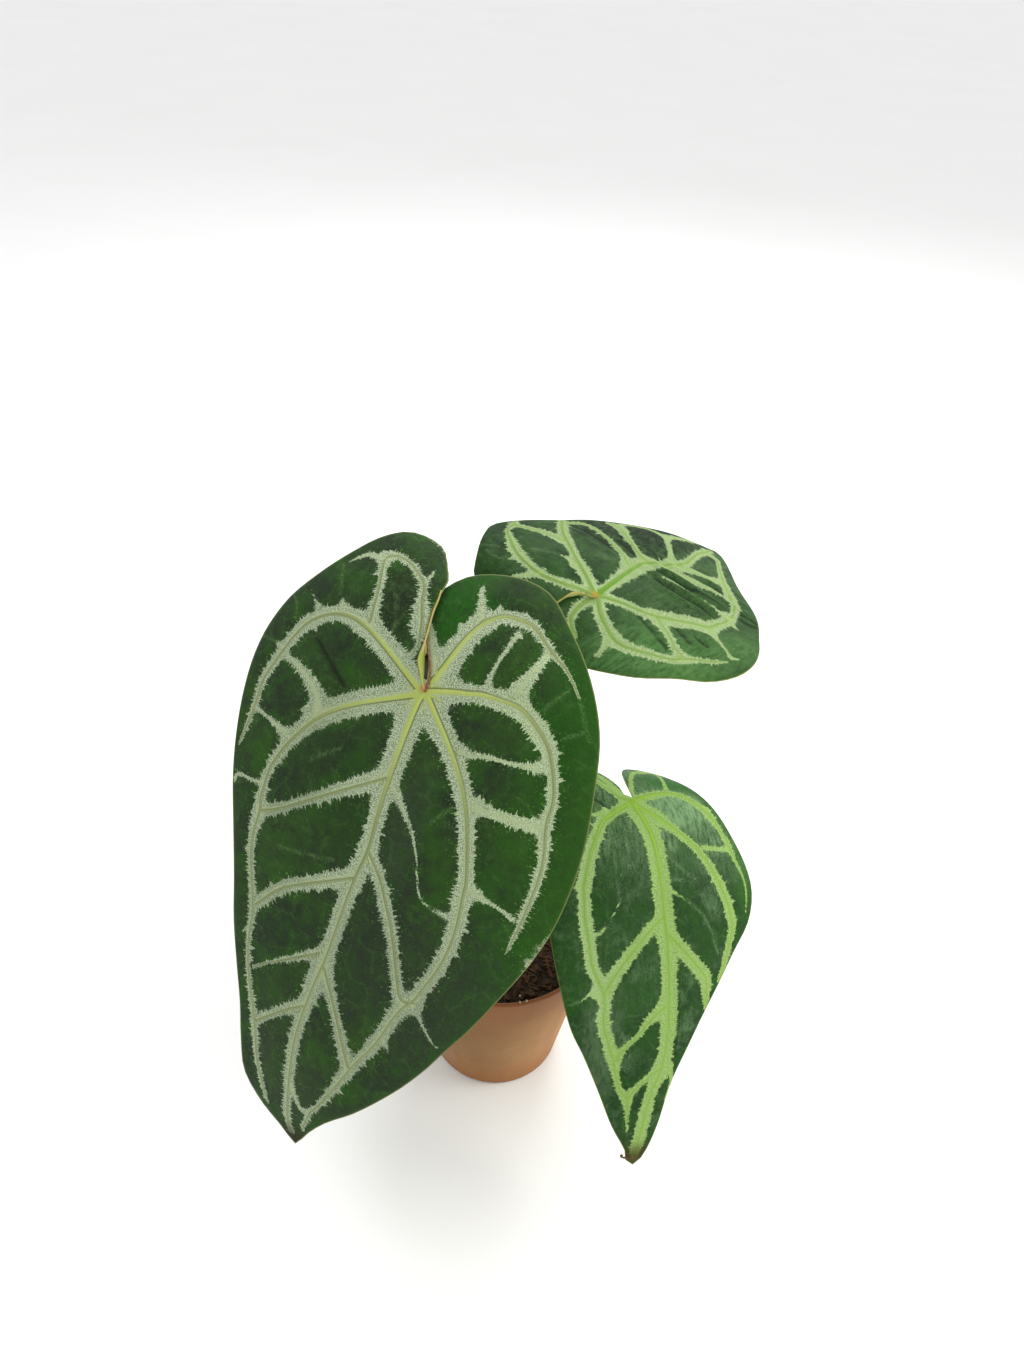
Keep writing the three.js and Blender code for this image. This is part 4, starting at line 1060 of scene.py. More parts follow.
LOWER_LOOK = {
    "name": "lower_leaf_top",
    "dark": colour(22, 50, 18), "mid": colour(34, 64, 26), "deep": colour(16, 38, 12),
    "rich": colour(34, 80, 14), "rich_side": -1.0, "rich_reach": (10, 90), "rich_share": 0.2,
    "net": colour(116, 150, 106), "painted_sheen_side": -1.0, "painted_sheen_reach": (-62, -12), "painted_sheen_share": 0.95,
    "flecks": 0.3, "fleck": colour(120, 156, 86),
    # The first, pale tint near the joint is painted sheen.
    "tints": [
        (24, 4, 26, 17, 0.62, colour(128, 164, 116)), (27, 31, 9, 14, 0.6, colour(36, 76, 28)),
        (-4, 90, 40, 40, 0.35, colour(58, 92, 50)), (3, 142, 12, 14, 0.6, colour(30, 62, 24)),
        (-23, 136, 14, 42, 0.4, colour(92, 112, 84)), (38, -20, 34, 12, 0.85, colour(28, 92, 18)),
        (66, 40, 8, 40, 0.5, colour(44, 92, 24)),
    ],
    "band_tints": [
        (0, 14, 30, 40, 0.25, colour(160, 196, 116)), (-30, 70, 18, 80, 0.35, colour(172, 192, 146)),
    ],
    "crease_shade": colour(16, 30, 10), "band_low": colour(100, 134, 62), "band_high": colour(160, 188, 116),
    "band_heart": colour(136, 170, 86), "line": colour(134, 174, 58), "line_shade": colour(110, 146, 50),
    "heart": colour(130, 156, 56), "rim": colour(130, 146, 78),
    "tip": colour(60, 54, 18), "tip_reach": (190, 203),
    "spike": 1.8, "spread": 1.1, "lobe_share": 0.9, "shine": 0.08, "sheen": 0.0, "rough": 0.5, "nap": 0.5,
}
UPPER_LOOK = {
    "name": "upper_leaf_top",
    "dark": colour(18, 42, 16), "mid": colour(42, 68, 34), "deep": colour(10, 26, 8),
    "rich": colour(40, 80, 24), "rich_side": -1.0, "rich_reach": (10, 90), "rich_share": 0.25,
    "net": colour(100, 130, 84), "painted_sheen_side": 1.0, "painted_sheen_reach": (0, 50), "painted_sheen_share": 0.4,
    "flecks": 0.2, "fleck": colour(110, 140, 86),
    # The light tints at -45 and -62 across are painted light on the front of the blade.
    "tints": [
        (38, 92, 42, 66, 0.9, colour(12, 26, 10)), (-45, 93, 22, 40, 0.5, colour(34, 60, 28)),
        (29, -34, 24, 16, 0.6, colour(16, 42, 8)), (9, -56, 18, 14, 0.5, colour(22, 44, 12)),
        (-8, -43, 14, 14, 0.5, colour(24, 46, 16)), (-45, -16, 32, 40, 0.5, colour(82, 124, 66)),
        (-62, 20, 16, 44, 0.35, colour(78, 120, 58)), (-14, 20, 20, 22, 0.2, colour(66, 92, 56)),
    ],
    "band_tints": [(30, 70, 50, 50, 0.3, colour(120, 144, 96)), (0, 0, 14, 18, 0.3, colour(160, 184, 128))],
    "crease_shade": colour(8, 20, 6), "band_low": colour(96, 120, 70), "band_high": colour(162, 180, 134),
    "band_heart": colour(130, 158, 88), "line": colour(84, 128, 24), "line_shade": colour(96, 124, 48),
    "heart": colour(170, 126, 46), "rim": colour(110, 120, 70),
    "tip": colour(52, 78, 42), "tip_reach": (300, 310),
    "spike": 2.0, "spread": 1.06, "lobe_share": 0.0, "shine": 0.05, "sheen": 0.0, "rough": 0.55, "nap": 0.5,
}


class LeafTop:
    """Velvet skin: dark ground, pale frayed bands along the veins and a bright line on each vein."""

    def __init__(self, look):
        self.look = look
        finish = Finish(look["name"], Specular_IOR_Level=look["shine"], Sheen_Weight=look["sheen"],
                        Sheen_Roughness=0.5)
        self.finish = finish
        self.vein = {name: finish.attribute("vein_" + name) for name in VEIN_FIELDS}
        self.across = finish.attribute("across")
        self.down = finish.attribute("down")
        self.margin = finish.attribute("margin_gap")
        self.flat = finish.vector(self.across, self.down)
        self.mottled = finish.noise(self.flat, 0.16, detail=4.0, rough=0.6)
        self.fine = finish.noise(self.flat, 0.9, detail=4.0, rough=0.7)
        self.grain = finish.noise(self.flat, 2.6, detail=3.0, rough=0.8)
        wobble = finish.noise(self.flat, 0.12, detail=3.0)
        net_place = finish.vector(self.across + wobble * 14.0, self.down + wobble * 11.0)
        wide_net = 1 - finish.cells(net_place, 0.07).between(0.0, 0.07)
        self.net = wide_net * self.mottled.between(0.4, 0.6)
        self.small_net = 1 - finish.cells(net_place, 0.24).between(0.0, 0.1)

    def tinted(self, tone, streaks, tints):
        """Soft streaked patches of another tone: the leaf's own mottling, and on some blades painted sheen
        and painted light.
        """
        for x, y, reach_x, reach_y, share, tint in tints:
            offset = self.finish.vector((self.across - x) / reach_x, (self.down - y) / reach_y)
            patch = (self.finish.length(offset) + (self.mottled - 0.5) * 1.4).between(1.25, 0.35)
            patch = patch * (streaks.between(0.35, 0.6) * 0.8 + 0.4)
            tone = self.finish.mix(patch * share, tone, tint)
        return tone

    def ground(self):
        """The dark skin, with painted sheen, faint nets, ghost veins and painted shade in the creases."""
        finish, look = self.finish, self.look
        across, down, mottled = self.across, self.down, self.mottled
        cloudy = finish.noise(self.flat, 0.035, detail=3.0)
        patches = finish.noise(self.flat, 0.06, detail=4.0, rough=0.6)
        streaks = finish.noise(finish.vector(across * 0.5, down * 0.12), 1.0, detail=4.0, rough=0.7)
        tone = finish.mix(cloudy.between(0.36, 0.64), look["dark"], look["mid"])
        rich = (look["rich_side"] * across).between(*look["rich_reach"])
        tone = finish.mix(rich * look["rich_share"], tone, look["rich"])
        tone = finish.mix((mottled - 0.42) * 0.9, tone, look["rich"])
        tone = finish.mix((0.5 - mottled) * 1.5, tone, look["deep"])
        tone = finish.mix(patches.between(0.48, 0.62) * 0.4, tone, look["rich"])
        # Painted sheen: pale patches, in the net colour, where the blade catches the light.
        painted_sheen = (look["painted_sheen_side"] * down).between(*look["painted_sheen_reach"])
        painted_sheen = painted_sheen * 0.7 + patches.between(0.5, 0.3) * 0.5
        painted_sheen = painted_sheen * (self.fine * 0.5 + streaks * 0.9).between(0.45, 0.95)
        tone = finish.mix(painted_sheen * look["painted_sheen_share"], tone, look["net"])
        tone = self.tinted(tone, streaks, look["tints"])
        lobe = self.margin.between(8.0, 1.0) * down.between(25.0, -5.0) * across.between(8.0, 22.0)
        tone = finish.mix(lobe * look["lobe_share"], tone, look["rich"])
        ghost = self.vein["ghost"] * self.fine.between(0.35, 0.6)
        faint = self.net * 0.1 + self.small_net * 0.04 + (self.fine - 0.5) * 0.3 + ghost * 0.5
        tone = finish.mix(faint, tone, look["net"])
        tone = finish.mix(self.margin.between(4.0, 0.0) * 0.2, tone, look["rich"])
        # Painted shade: the creases are darkened.
        return finish.mix(self.vein["crease_shade"] * 0.9, tone, look["crease_shade"])

    def beyond_band(self):
        """How far a place is outside the frayed edge of its pale band, in millimetres."""
        finish, spike, width = self.finish, self.look["spike"], self.vein["width"]
        along, side = self.vein["along"], self.vein["side"]
        barbs = finish.noise(finish.vector(along * 1.2, side * 0.14), 1.0, detail=3.0, rough=0.65)
        long_barbs = finish.noise(finish.vector(along * 0.4, side * 0.07), 1.0, detail=1.0)
        lumps = finish.noise(self.flat, 0.5, detail=3.0, rough=0.65)
        sturdy = width.between(0.3, 1.8) * 0.85 + 0.15
        fray = barbs.between(0.42, 0.72) ** 1.2 * spike + long_barbs.between(0.5, 0.8) * spike * 0.8
        fray = fray * sturdy * (1 - self.vein["fork"] * 0.35)
        beyond = (self.vein["band"] - self.look["spread"]) * width - fray
        beyond = beyond + ((0.5 - lumps) * 1.8 + spike * 0.22) * sturdy
        return beyond + (self.grain - 0.5) * 0.9 * sturdy

    def pale(self):
        """The speckled skin of the bands, warmest along the vein."""
        finish, look = self.finish, self.look
        lengthwise = finish.vector(self.vein["along"] * 1.5, self.vein["side"] * 0.45)
        strands = finish.noise(lengthwise, 1.0, detail=3.0, rough=0.7)
        hairs = finish.noise(self.flat, 1.7, detail=3.0, rough=0.75)
        speckle = strands * 0.25 + hairs * 0.75
        tone = finish.mix(speckle.between(0.43, 0.57), look["band_low"], look["band_high"])
        tone = self.tinted(tone, hairs, look["band_tints"])
        return finish.mix((1 - self.vein["band"].between(0.1, 0.55)) * 0.7, tone, look["band_heart"])

    def with_lines(self, skin):
        """The skin with a line along the middle of each vein, shaded on one side."""
        finish, look = self.finish, self.look
        side, width, gleam = self.vein["side"], self.vein["line"], self.vein["gleam"]
        line = 1 - (abs(side) - width).between(-0.2, 0.2)
        shade = 1 - abs(side - width - 0.4).between(0.1, 0.75)
        shown = width.between(0.1, 0.3) * (1 - self.vein["band"].between(0.45, 0.9))
        skin = finish.mix(shade * shown * (0.25 + gleam * 0.6), skin, look["line_shade"])
        line_tone = finish.mix(gleam.between(0.3, 0.75), look["line_shade"], look["line"])
        return finish.mix(line * shown * (0.5 + gleam * 0.4), skin, line_tone)

    def material(self):
        finish, look = self.finish, self.look
        beyond = self.beyond_band()
        mask = 1 - beyond.between(-0.16, 0.16)
        flecks = finish.noise(self.flat, 0.8, detail=2.0, rough=0.6).between(0.64, 0.68)
        flecks = flecks * beyond.between(7.0, 0.5)
        ground = finish.mix(flecks * look["flecks"], self.ground(), look["fleck"])
        skin = self.with_lines(finish.mix(mask, ground, self.pale()))
        joint = finish.length(self.flat).between(3.4, 0.6)
        skin = finish.mix(joint * 0.6, skin, look["heart"])
        tip = (self.down + self.mottled * 4.0).between(*look["tip_reach"])
        skin = finish.mix(tip * 0.9, skin, look["tip"])
        skin = finish.mix(self.margin.between(0.7, 0.2) * 0.5, skin, look["rim"])
        finish.wire("Base Color", skin)
        finish.wire("Roughness", look["rough"] + mask * 0.1 + (self.fine - 0.5) * 0.2)
        velvet = finish.bump(self.grain + self.fine * 0.6, 0.00016, look["nap"])
        cushions = self.mottled * 1.5 - self.net * 0.4 - self.small_net * 0.1
        finish.wire("Normal", finish.bump(cushions, 0.001, 0.35, under=velvet))
        return finish.material


def leaf_under():
    finish = Finish("leaf_underside", Roughness=0.6, Specular_IOR_Level=0.3)
    across = finish.attribute("across")
    down = finish.attribute("down")
    flat = finish.vector(across, down)
    band = finish.attribute("vein_band")
    side = finish.attribute("vein_side")
    cloudy = finish.noise(flat, 0.12, detail=4.0)
    wobble = finish.noise(flat, 0.16, detail=2.0)
    net_place = finish.vector(across + wobble * 9.0, down + wobble * 7.0)
    net = 1 - finish.cells(net_place, 0.1).between(0.0, 0.06)
    ground = finish.mix(cloudy, colour(96, 124, 78), colour(124, 148, 100))
    ground = finish.mix(net * 0.4, ground, colour(150, 170, 118))
    ground = finish.mix((1 - band.between(0.5, 1.1)) * 0.45, ground, colour(140, 162, 110))
    line = 1 - abs(side).between(0.8, 1.9)
    ground = finish.mix(line * (1 - band.between(0.5, 1.0)) * 0.8, ground, colour(166, 186, 116))
    finish.wire("Base Color", ground)
    finish.wire("Roughness", 0.55 + cloudy * 0.15)
    grain = finish.noise(flat, 1.6, detail=4.0)
    finish.wire("Normal", finish.bump(grain + net * 0.8, 0.0003, 0.6))
    return finish.material


def leaf_edge():
    finish = Finish("leaf_margin", Roughness=0.5)
    down = finish.attribute("down")
    across = finish.attribute("across")
    tone = finish.noise(finish.vector(across, down), 0.12, detail=4.0)
    skin = finish.mix(tone.between(0.35, 0.65), colour(128, 150, 76), colour(178, 176, 112))
    finish.wire("Base Color", skin)
    finish.wire("Roughness", 0.45 + tone * 0.2)
    finish.wire("Normal", finish.bump(tone, 0.0002, 0.4))
    return finish.material


# Stalks and stem.

STALK_ROUNDING = 2
STEM_CUTS = 3
STEM_LUMP = 0.25


def stalk_finish():
    finish = Finish("stalk_skin", Specular_IOR_Level=0.4)
    place = finish.place()
    long_grain = finish.noise(finish.stretched(place, 1.0, 1.0, 0.12), 900.0, detail=3.0)
    broad = finish.noise(place, 22.0, detail=3.0)
    flecks = finish.noise(finish.stretched(place, 1.0, 1.0, 0.35), 700.0, detail=1.0)
    skin = finish.mix(broad.between(0.3, 0.7), colour(86, 116, 50), colour(126, 148, 74))
    skin = finish.mix((long_grain - 0.4) * 0.7, skin, colour(150, 166, 98))
    skin = finish.mix(flecks.between(0.66, 0.74) * 0.6, skin, colour(176, 180, 130))
    height = finish.part(place, "Z")
    skin = finish.mix(height.between(0.16, 0.11) * 0.6, skin, colour(118, 92, 58))
    finish.wire("Base Color", skin)
    finish.wire("Roughness", 0.42 + long_grain * 0.25)
    finish.wire("Normal", finish.bump(long_grain + flecks * 0.5, 0.0002, 0.6))
    return finish.material


def build_stalk(node, material):
    stalk = merged_copy(node, node + "_rod")
    make_active(stalk)
    modifier = stalk.modifiers.new("round", "SUBSURF")
    modifier.levels = STALK_ROUNDING
    modifier.render_levels = STALK_ROUNDING
    bpy.ops.object.modifier_apply(modifier="round")
    smooth(stalk, degrees=50)
    return finish_piece(stalk, node, material)


def stem_finish():
    finish = Finish("stem_bark", Specular_IOR_Level=0.25)
    place = finish.place()
    rings = finish.noise(finish.stretched(place, 0.4, 0.4, 3.0), 220.0, detail=4.0)
    fibres = finish.noise(finish.stretched(place, 3.0, 3.0, 0.3), 420.0, detail=4.0, rough=0.7)
    skin = finish.mix(rings.between(0.35, 0.65), colour(74, 62, 36), colour(116, 112, 64))
    skin = finish.mix(fibres.between(0.52, 0.75) * 0.7, skin, colour(150, 122, 82))
    finish.wire("Base Color", skin)
    finish.wire("Roughness", 0.7 + fibres * 0.2)
    finish.wire("Normal", finish.bump(fibres + rings * 0.8, 0.0011, 0.9))
    return finish.material


def build_stem(material):
    """The stem with small lumps on its bark."""
    stem = merged_copy("stem", "stem_stub")
    make_active(stem)
    bpy.ops.object.mode_set(mode="EDIT")
    bpy.ops.mesh.select_all(action="SELECT")
    bpy.ops.mesh.subdivide(number_cuts=STEM_CUTS)
    bpy.ops.object.mode_set(mode="OBJECT")
    points = places(stem)
    out = normals(stem)
    for index, point in enumerate(points):
        lump = noise.noise(Vector(point) * 0.22) + 0.5 * noise.noise(Vector(point) * 0.6)
        points[index] = point + out[index] * lump * STEM_LUMP
    set_places(stem, points)
    smooth(stem, degrees=40)
    return finish_piece(stem, "stem", material)


# Pot. A ring is a radius and a height, from the foot up the outside and down the inside.

POT_RINGS = [
    (39.7, 0.0), (41.0, 0.45), (41.57, 1.6), (50.9, 58.0), (59.6, 110.8), (59.75, 111.9), (59.4, 112.75),
    (58.7, 113.0), (58.2, 113.0), (57.6, 112.75), (57.2, 111.9), (57.0, 110.6), (48.0, 58.0), (40.4, 13.0),
    (39.4, 7.0), (38.2, 4.6), (36.6, 4.0),
]
POT_SEGMENTS = 160
DRAIN_COUNT = 4
DRAIN_RADIUS = 4.5
DRAIN_CIRCLE = 24
DRILL_LENGTH = 20


def clay_finish():
    finish = Finish("terracotta", Specular_IOR_Level=0.3)
    place = finish.place()
    height = finish.part(place, "Z")
    x = finish.part(place, "X")
    y = finish.part(place, "Y")
    broad = finish.noise(place, 16.0, detail=4.0)
    streaks = finish.noise(finish.stretched(place, 1.0, 1.0, 0.08), 90.0, detail=4.0, rough=0.6)
    turning = finish.noise(finish.stretched(place, 0.05, 0.05, 1.0), 420.0, detail=3.0)
    grit = finish.noise(place, 1500.0, detail=2.0, rough=0.7)
    specks = finish.cells(place, 420.0, feature="F1")
    clay = finish.mix(broad.between(0.3, 0.7), colour(130, 98, 58), colour(150, 114, 74))
    # Painted light: the right side of the pot, towards the window light, is lighter.
    clay = finish.mix((x + broad * 0.02).between(0.0, 0.045) * 0.55, clay, colour(186, 142, 96))
    clay = finish.mix(streaks.between(0.4, 0.75) * 0.45, clay, colour(138, 92, 54))
    clay = finish.mix(height.between(0.05, 0.0) * 0.6 * (0.5 + broad), clay, colour(154, 96, 46))
    salts = (height.between(0.075, 0.03) * (0 - x).between(0.008, 0.05) + 0.12) * streaks.between(0.3, 0.62)
    clay = finish.mix(salts * 0.4, clay, colour(170, 148, 126))
    band = height.between(0.0885, 0.0905)
    clay = finish.mix(band * 0.3, clay, colour(150, 102, 60))
    clay = finish.mix((turning - 0.5) * 0.5, clay, colour(184, 142, 98))
    clay = finish.mix(specks.between(0.16, 0.05) * 0.5, clay, colour(118, 78, 50))
    radius = (x * x + y * y) ** 0.5
    wobble = finish.noise(place, 60.0, detail=3.0)
    # Darker, glossier orange on the rim's top and the inner wall.
    rim_top = (height + wobble * 0.0016).between(0.1122, 0.1132)
    inside = (height * 0.1718 + 0.0404 - radius).between(-0.0008, 0.0002)
    rim_and_inner_wall = rim_top + inside * 0.9
    clay = finish.mix(rim_and_inner_wall.between(0.0, 1.0) * 0.85, clay, colour(122, 64, 26))
    finish.wire("Base Color", clay)
    finish.wire("Roughness", 0.86 - rim_and_inner_wall.between(0.0, 1.0) * 0.25 + (grit - 0.5) * 0.1)
    fine = finish.bump(grit + specks * -0.4, 0.00012, 0.7)
    finish.wire("Normal", finish.bump(turning + streaks * 0.4, 0.00035, 0.5, under=fine))
    return finish.material


def build_pot(material):
    """A pot drawn up ring by ring, then drilled."""
    deselect_all()
    radius, height = POT_RINGS[0]
    bpy.ops.mesh.primitive_circle_add(
        vertices=POT_SEGMENTS, radius=radius * MM, fill_type="NGON", location=(0, 0, height * MM))
    pot = bpy.context.object
    pot.name = "clay_pot"
    bpy.ops.object.mode_set(mode="EDIT")
    for (radius, height), (next_radius, next_height) in zip(POT_RINGS, POT_RINGS[1:]):
        rise = (0, 0, (next_height - height) * MM)
        bpy.ops.mesh.extrude_region_move(TRANSFORM_OT_translate={"value": rise})
        ratio = next_radius / radius
        bpy.ops.transform.resize(value=(ratio, ratio, 1), center_override=(0, 0, next_height * MM))
    bpy.ops.object.mode_set(mode="OBJECT")
    bpy.ops.object.transform_apply(location=True, rotation=True, scale=True)
    for turn in range(DRAIN_COUNT):
        angle = (turn + 0.5) / DRAIN_COUNT * 2 * math.pi
        place = (math.cos(angle) * DRAIN_CIRCLE * MM, math.sin(angle) * DRAIN_CIRCLE * MM, 0)
        deselect_all()
        bpy.ops.mesh.primitive_cylinder_add(
            vertices=32, radius=DRAIN_RADIUS * MM, depth=DRILL_LENGTH * MM, location=place)
        drill = bpy.context.object
        make_active(pot)
        modifier = pot.modifiers.new("drain", "BOOLEAN")
        modifier.operation = "DIFFERENCE"
        modifier.object = drill
        bpy.ops.object.modifier_apply(modifier="drain")
        bpy.data.objects.remove(drill)
    smooth(pot, degrees=35)
    return finish_piece(pot, "pot", material)


# Potting mix.

SOIL_TOP = 104.0
SOIL_RADIUS = 54.0
SOIL_TOP_FACES = 99.0
SOIL_CRUMBS_FROM = 100.0
SOIL_CRUMB = 0.7
SOIL_CUTS = 4
STEM_PLACE = (2.0, 7.0)
STEM_CLEARANCE = 12.0
CHIP_BEVEL = 0.16
CHIP_UNEVENNESS = 0.12
# Loose flakes: how many, how far out, least and largest sides, seed, and share of a side they stand up.
CHIPS = {
    "count": 420, "reach": SOIL_RADIUS - 4, "sizes": ((2.0, 6.0), (1.5, 3.5), (0.8, 1.8)),
    "seed": 3, "stand": 0.1,
}
CRUMBS = {
    "count": 900, "reach": SOIL_RADIUS - 2, "sizes": ((0.8, 2.0), (0.7, 1.5), (0.5, 1.1)),
    "seed": 12, "stand": 0.3,
}
FIBRE_COUNT = 150
FIBRE_SEED = 8
FIBRE_RADIUS = 0.14
FIBRE_STEPS = 4
FIBRE_LIFT = 0.5
FIBRE_ARCHES = (0.3, 2.0)
FIBRE_SWELLS = (0.6, 1.4)
FIBRE_STEP_LENGTHS = (1.6, 4.2)
FIBRE_TURN = 0.45
RIM_GRAINS = [(13.5, -56.6, 113.2), (17.3, -55.6, 113.2)]
GRAIN_COUNT = 14
GRAIN_SEED = 5
GRAIN_LIFT = 0.7
GRAIN_SIZES = (0.7, 1.3)


def mix_finish(name, dark, light, warm):
    finish = Finish(name, Specular_IOR_Level=0.25)
    place = finish.place()
    clumps = finish.noise(place, 260.0, detail=5.0, rough=0.7)
    strands = finish.noise(finish.stretched(place, 1.0, 0.25, 1.0), 900.0, detail=4.0, rough=0.7, bend=1.5)
    grains = finish.cells(place, 700.0, feature="F1")
    tone = finish.mix(clumps.between(0.3, 0.72), dark, light)
    tone = finish.mix(strands.between(0.55, 0.75) * 0.6, tone, warm)
    tone = finish.mix(grains.between(0.2, 0.05) * 0.25, tone, warm)
    finish.wire("Base Color", tone)
    finish.wire("Roughness", 0.8 + strands * 0.15)
    finish.wire("Normal", finish.bump(clumps + strands * 0.6, 0.0012, 0.9))
    return finish.material


def build_soil(material):
    """The mix, with crumbs raised on its top."""
    soil = merged_copy("potting_mix", "bark_mix")
    mesh = soil.data
    make_active(soil)
    for face in mesh.polygons:
        face.select = face.normal.z > 0.1 and face.center.z > SOIL_TOP_FACES * MM
    bpy.context.tool_settings.mesh_select_mode = (False, False, True)
    bpy.ops.object.mode_set(mode="EDIT")
    bpy.ops.mesh.subdivide(number_cuts=SOIL_CUTS)
    bpy.ops.object.mode_set(mode="OBJECT")
    points = places(soil)
    for index, (x, y, z) in enumerate(points):
        if z > SOIL_CRUMBS_FROM and math.hypot(x, y) < SOIL_RADIUS:
            crumbs = noise.noise(Vector((x, y, 0)) * 0.45) + 0.6 * noise.noise(Vector((x, y, 9)) * 1.1)
            points[index][2] = z + crumbs * SOIL_CRUMB
    set_places(soil, points)
    smooth(soil, degrees=60)
    return finish_piece(soil, "potting_mix", material)


def soil_height(x, y):
    """The mix's broad swells, as in the CAD model."""
    broad = math.sin(x * 0.11 + 0.6) * math.cos(y * 0.13 - 0.4)
    close = math.sin(x * 0.37 + y * 0.21) * math.cos(y * 0.41 - x * 0.17)
    edge = max(0.0, math.hypot(x, y) - SOIL_RADIUS * 0.9) * 0.1
    return SOIL_TOP + 1.4 * (0.6 * broad + 0.5 * close) * (1 - min(1.0, edge)) - edge


def soil_spot(chance, reach):
    """A random place on the mix, off the stem."""
    while True:
        angle = chance.random() * 2 * math.pi
        radius = reach * math.sqrt(chance.random())
        x, y = radius * math.cos(angle), radius * math.sin(angle)
        if math.hypot(x - STEM_PLACE[0], y - STEM_PLACE[1]) > STEM_CLEARANCE:
            return x, y


def one_chip():
    """A flat broken flake, made once and copied."""
    deselect_all()
    bpy.ops.mesh.primitive_cube_add(size=1)
    chip = bpy.context.object
    bpy.ops.object.mode_set(mode="EDIT")
    bpy.ops.mesh.bevel(offset=CHIP_BEVEL, segments=1)
    bpy.ops.transform.vertex_random(offset=CHIP_UNEVENNESS, uniform=0.1, normal=0.0, seed=4)
    bpy.ops.mesh.quads_convert_to_tris()
    bpy.ops.object.mode_set(mode="OBJECT")
    return chip


def copy_over(name, shape, spots, material):
    """Copies of one shape, each with its own mesh, set at each spot, turned and sized, and joined."""
    copies = []
    for spot, turn, size in spots:
        piece = shape.copy()
        piece.data = shape.data.copy()
        piece.matrix_world = Matrix.LocRotScale(Vector(spot) * MM, turn, Vector(size) * MM)
        bpy.context.scene.collection.objects.link(piece)
        copies.append(piece)
    bpy.data.objects.remove(shape)
    deselect_all()
    for piece in copies:
        piece.select_set(True)
    bpy.context.view_layer.objects.active = copies[0]
    bpy.ops.object.join()
    bpy.ops.object.transform_apply(location=True, rotation=True, scale=True)
    joined = bpy.context.object
    joined.name = name
    return finish_piece(joined, None, material)


def scatter(name, kind, material):
    """Flakes of bark lying about on the mix."""
    chance = random.Random(kind["seed"])
    spots = []
    for _ in range(kind["count"]):
        x, y = soil_spot(chance, kind["reach"])
        size = [chance.uniform(*limits) for limits in kind["sizes"]]
        turn = Euler((chance.gauss(0, 0.3), chance.gauss(0, 0.3), chance.random() * 2 * math.pi))
        spots.append(((x, y, soil_height(x, y) + size[2] * kind["stand"]), turn, size))
    return copy_over(name, one_chip(), spots, material)


def build_fibres(material):
    """Thin strands of husk that lie across the mix."""
    chance = random.Random(FIBRE_SEED)
    data = bpy.data.curves.new("husk_fibres", "CURVE")
    data.dimensions = "3D"
    data.bevel_depth = FIBRE_RADIUS * MM
    data.bevel_resolution = 1
    data.resolution_u = 3
    for _ in range(FIBRE_COUNT):
        x, y = soil_spot(chance, SOIL_RADIUS - 6)
        heading = chance.random() * 2 * math.pi
        spline = data.splines.new("BEZIER")
        spline.bezier_points.add(FIBRE_STEPS)
        for index, point in enumerate(spline.bezier_points):
            lift = FIBRE_LIFT + math.sin(index / FIBRE_STEPS * math.pi) * chance.uniform(*FIBRE_ARCHES)
            radius = math.hypot(x, y)
            if radius > SOIL_RADIUS - 2:
                x, y = x * (SOIL_RADIUS - 2) / radius, y * (SOIL_RADIUS - 2) / radius
            point.co = Vector((x, y, soil_height(x, y) + lift)) * MM
            point.handle_left_type = "AUTO"
            point.handle_right_type = "AUTO"
            point.radius = chance.uniform(*FIBRE_SWELLS)
            heading += chance.gauss(0, FIBRE_TURN)
            step = chance.uniform(*FIBRE_STEP_LENGTHS)
            x += math.cos(heading) * step
            y += math.sin(heading) * step
    strands = bpy.data.objects.new("husk_fibres", data)
    bpy.context.scene.collection.objects.link(strands)
    make_active(strands)
    bpy.ops.object.convert(target="MESH")
    strands = bpy.context.object
    return finish_piece(strands, None, material)


def build_grains(material):
    """Two pale crumbs left on the pot's rim at the front, and a few on the mix."""
    chance = random.Random(GRAIN_SEED)
    grain_places = list(RIM_GRAINS)
    for _ in range(GRAIN_COUNT):
        x, y = soil_spot(chance, SOIL_RADIUS - 4)
        grain_places.append((x, y, soil_height(x, y) + GRAIN_LIFT))
    spots = []
    for place in grain_places:
        turn = Euler([chance.random() * 6 for _ in range(3)])
        size = [chance.uniform(*GRAIN_SIZES) for _ in range(3)]
        spots.append((place, turn, size))
    return copy_over("pale_grains", one_chip(), spots, material)


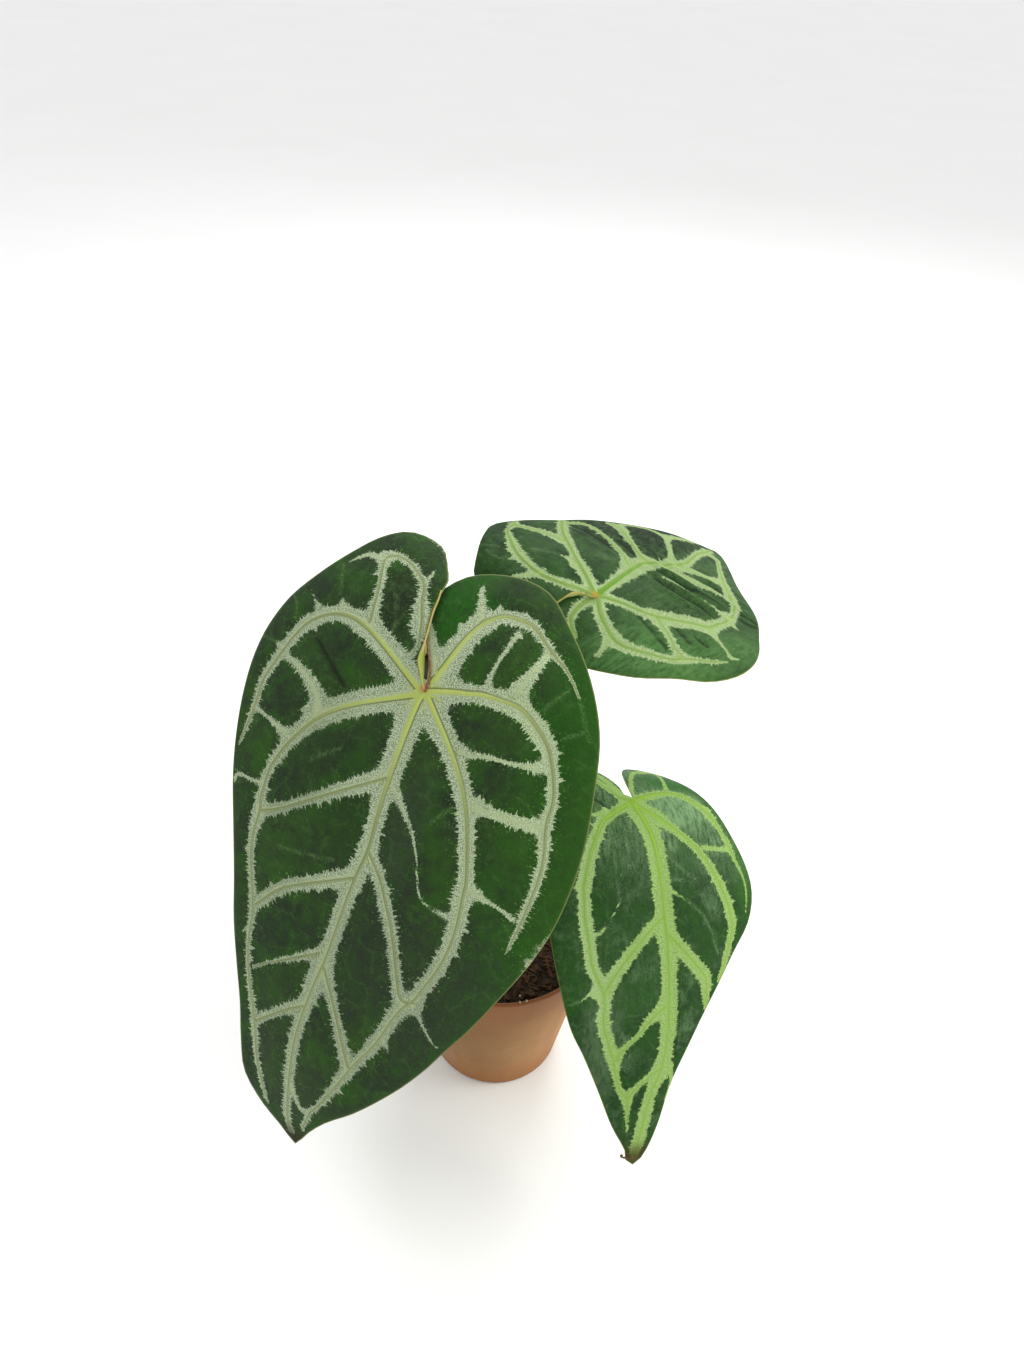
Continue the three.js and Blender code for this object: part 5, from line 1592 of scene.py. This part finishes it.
# The whole plant.

set_camera()
set_light()
add_floor()

under = leaf_under()
edge = leaf_edge()
for node, leaf, look in (
    ("leaf_large", LARGE_LEAF, LARGE_LOOK),
    ("leaf_lower", LOWER_LEAF, LOWER_LOOK),
    ("leaf_upper", UPPER_LEAF, UPPER_LOOK),
):
    build_blade(node, leaf, LeafTop(look).material(), under, edge)
build_strip("rolled_edge", LARGE_LEAF, ROLLED_EDGE,
            rolled_edge_finish("rolled_edge", 0.62, colour(168, 140, 88), colour(172, 184, 88)))
build_strip("sinus_rim", LARGE_LEAF, SINUS_RIM, rim_finish())
# A sheet down in the gap between the back lobes, carrying painted shadow.
build_strip("sinus_floor_shadow", LARGE_LEAF, SINUS_FLOOR_SHADOW,
            tucked_shadow_finish("sinus_floor_shadow", colour(30, 18, 8), colour(104, 106, 84)))
build_strip("upper_rolled_edge", UPPER_LEAF, UPPER_ROLLED_EDGE,
            rolled_edge_finish("upper_rolled_edge", 0.1, colour(150, 110, 40), colour(140, 132, 52)))
# The upper blade's sheet in its lobe gap, carrying painted shadow.
build_strip("upper_sinus_floor_shadow", UPPER_LEAF, UPPER_SINUS_FLOOR_SHADOW,
            tucked_shadow_finish("upper_sinus_floor_shadow", colour(40, 52, 24), colour(84, 110, 56)))
build_dried_tip(dried_finish())

stalk_skin = stalk_finish()
for stalk_node in ("stalk_large", "stalk_upper", "stalk_lower"):
    build_stalk(stalk_node, stalk_skin)
build_stem(stem_finish())
build_pot(clay_finish())
build_soil(mix_finish("damp_mix", colour(24, 15, 9), colour(52, 36, 24), colour(82, 56, 36)))
chip_finish = mix_finish("bark_chip", colour(44, 28, 18), colour(84, 56, 36), colour(118, 84, 56))
scatter("bark_chips", CHIPS, chip_finish)
scatter("bark_crumbs", CRUMBS, chip_finish)
build_fibres(mix_finish("husk_fibre", colour(96, 66, 40), colour(140, 104, 68), colour(160, 124, 84)))
build_grains(mix_finish("pale_grain", colour(168, 150, 128), colour(206, 194, 176), colour(184, 150, 112)))
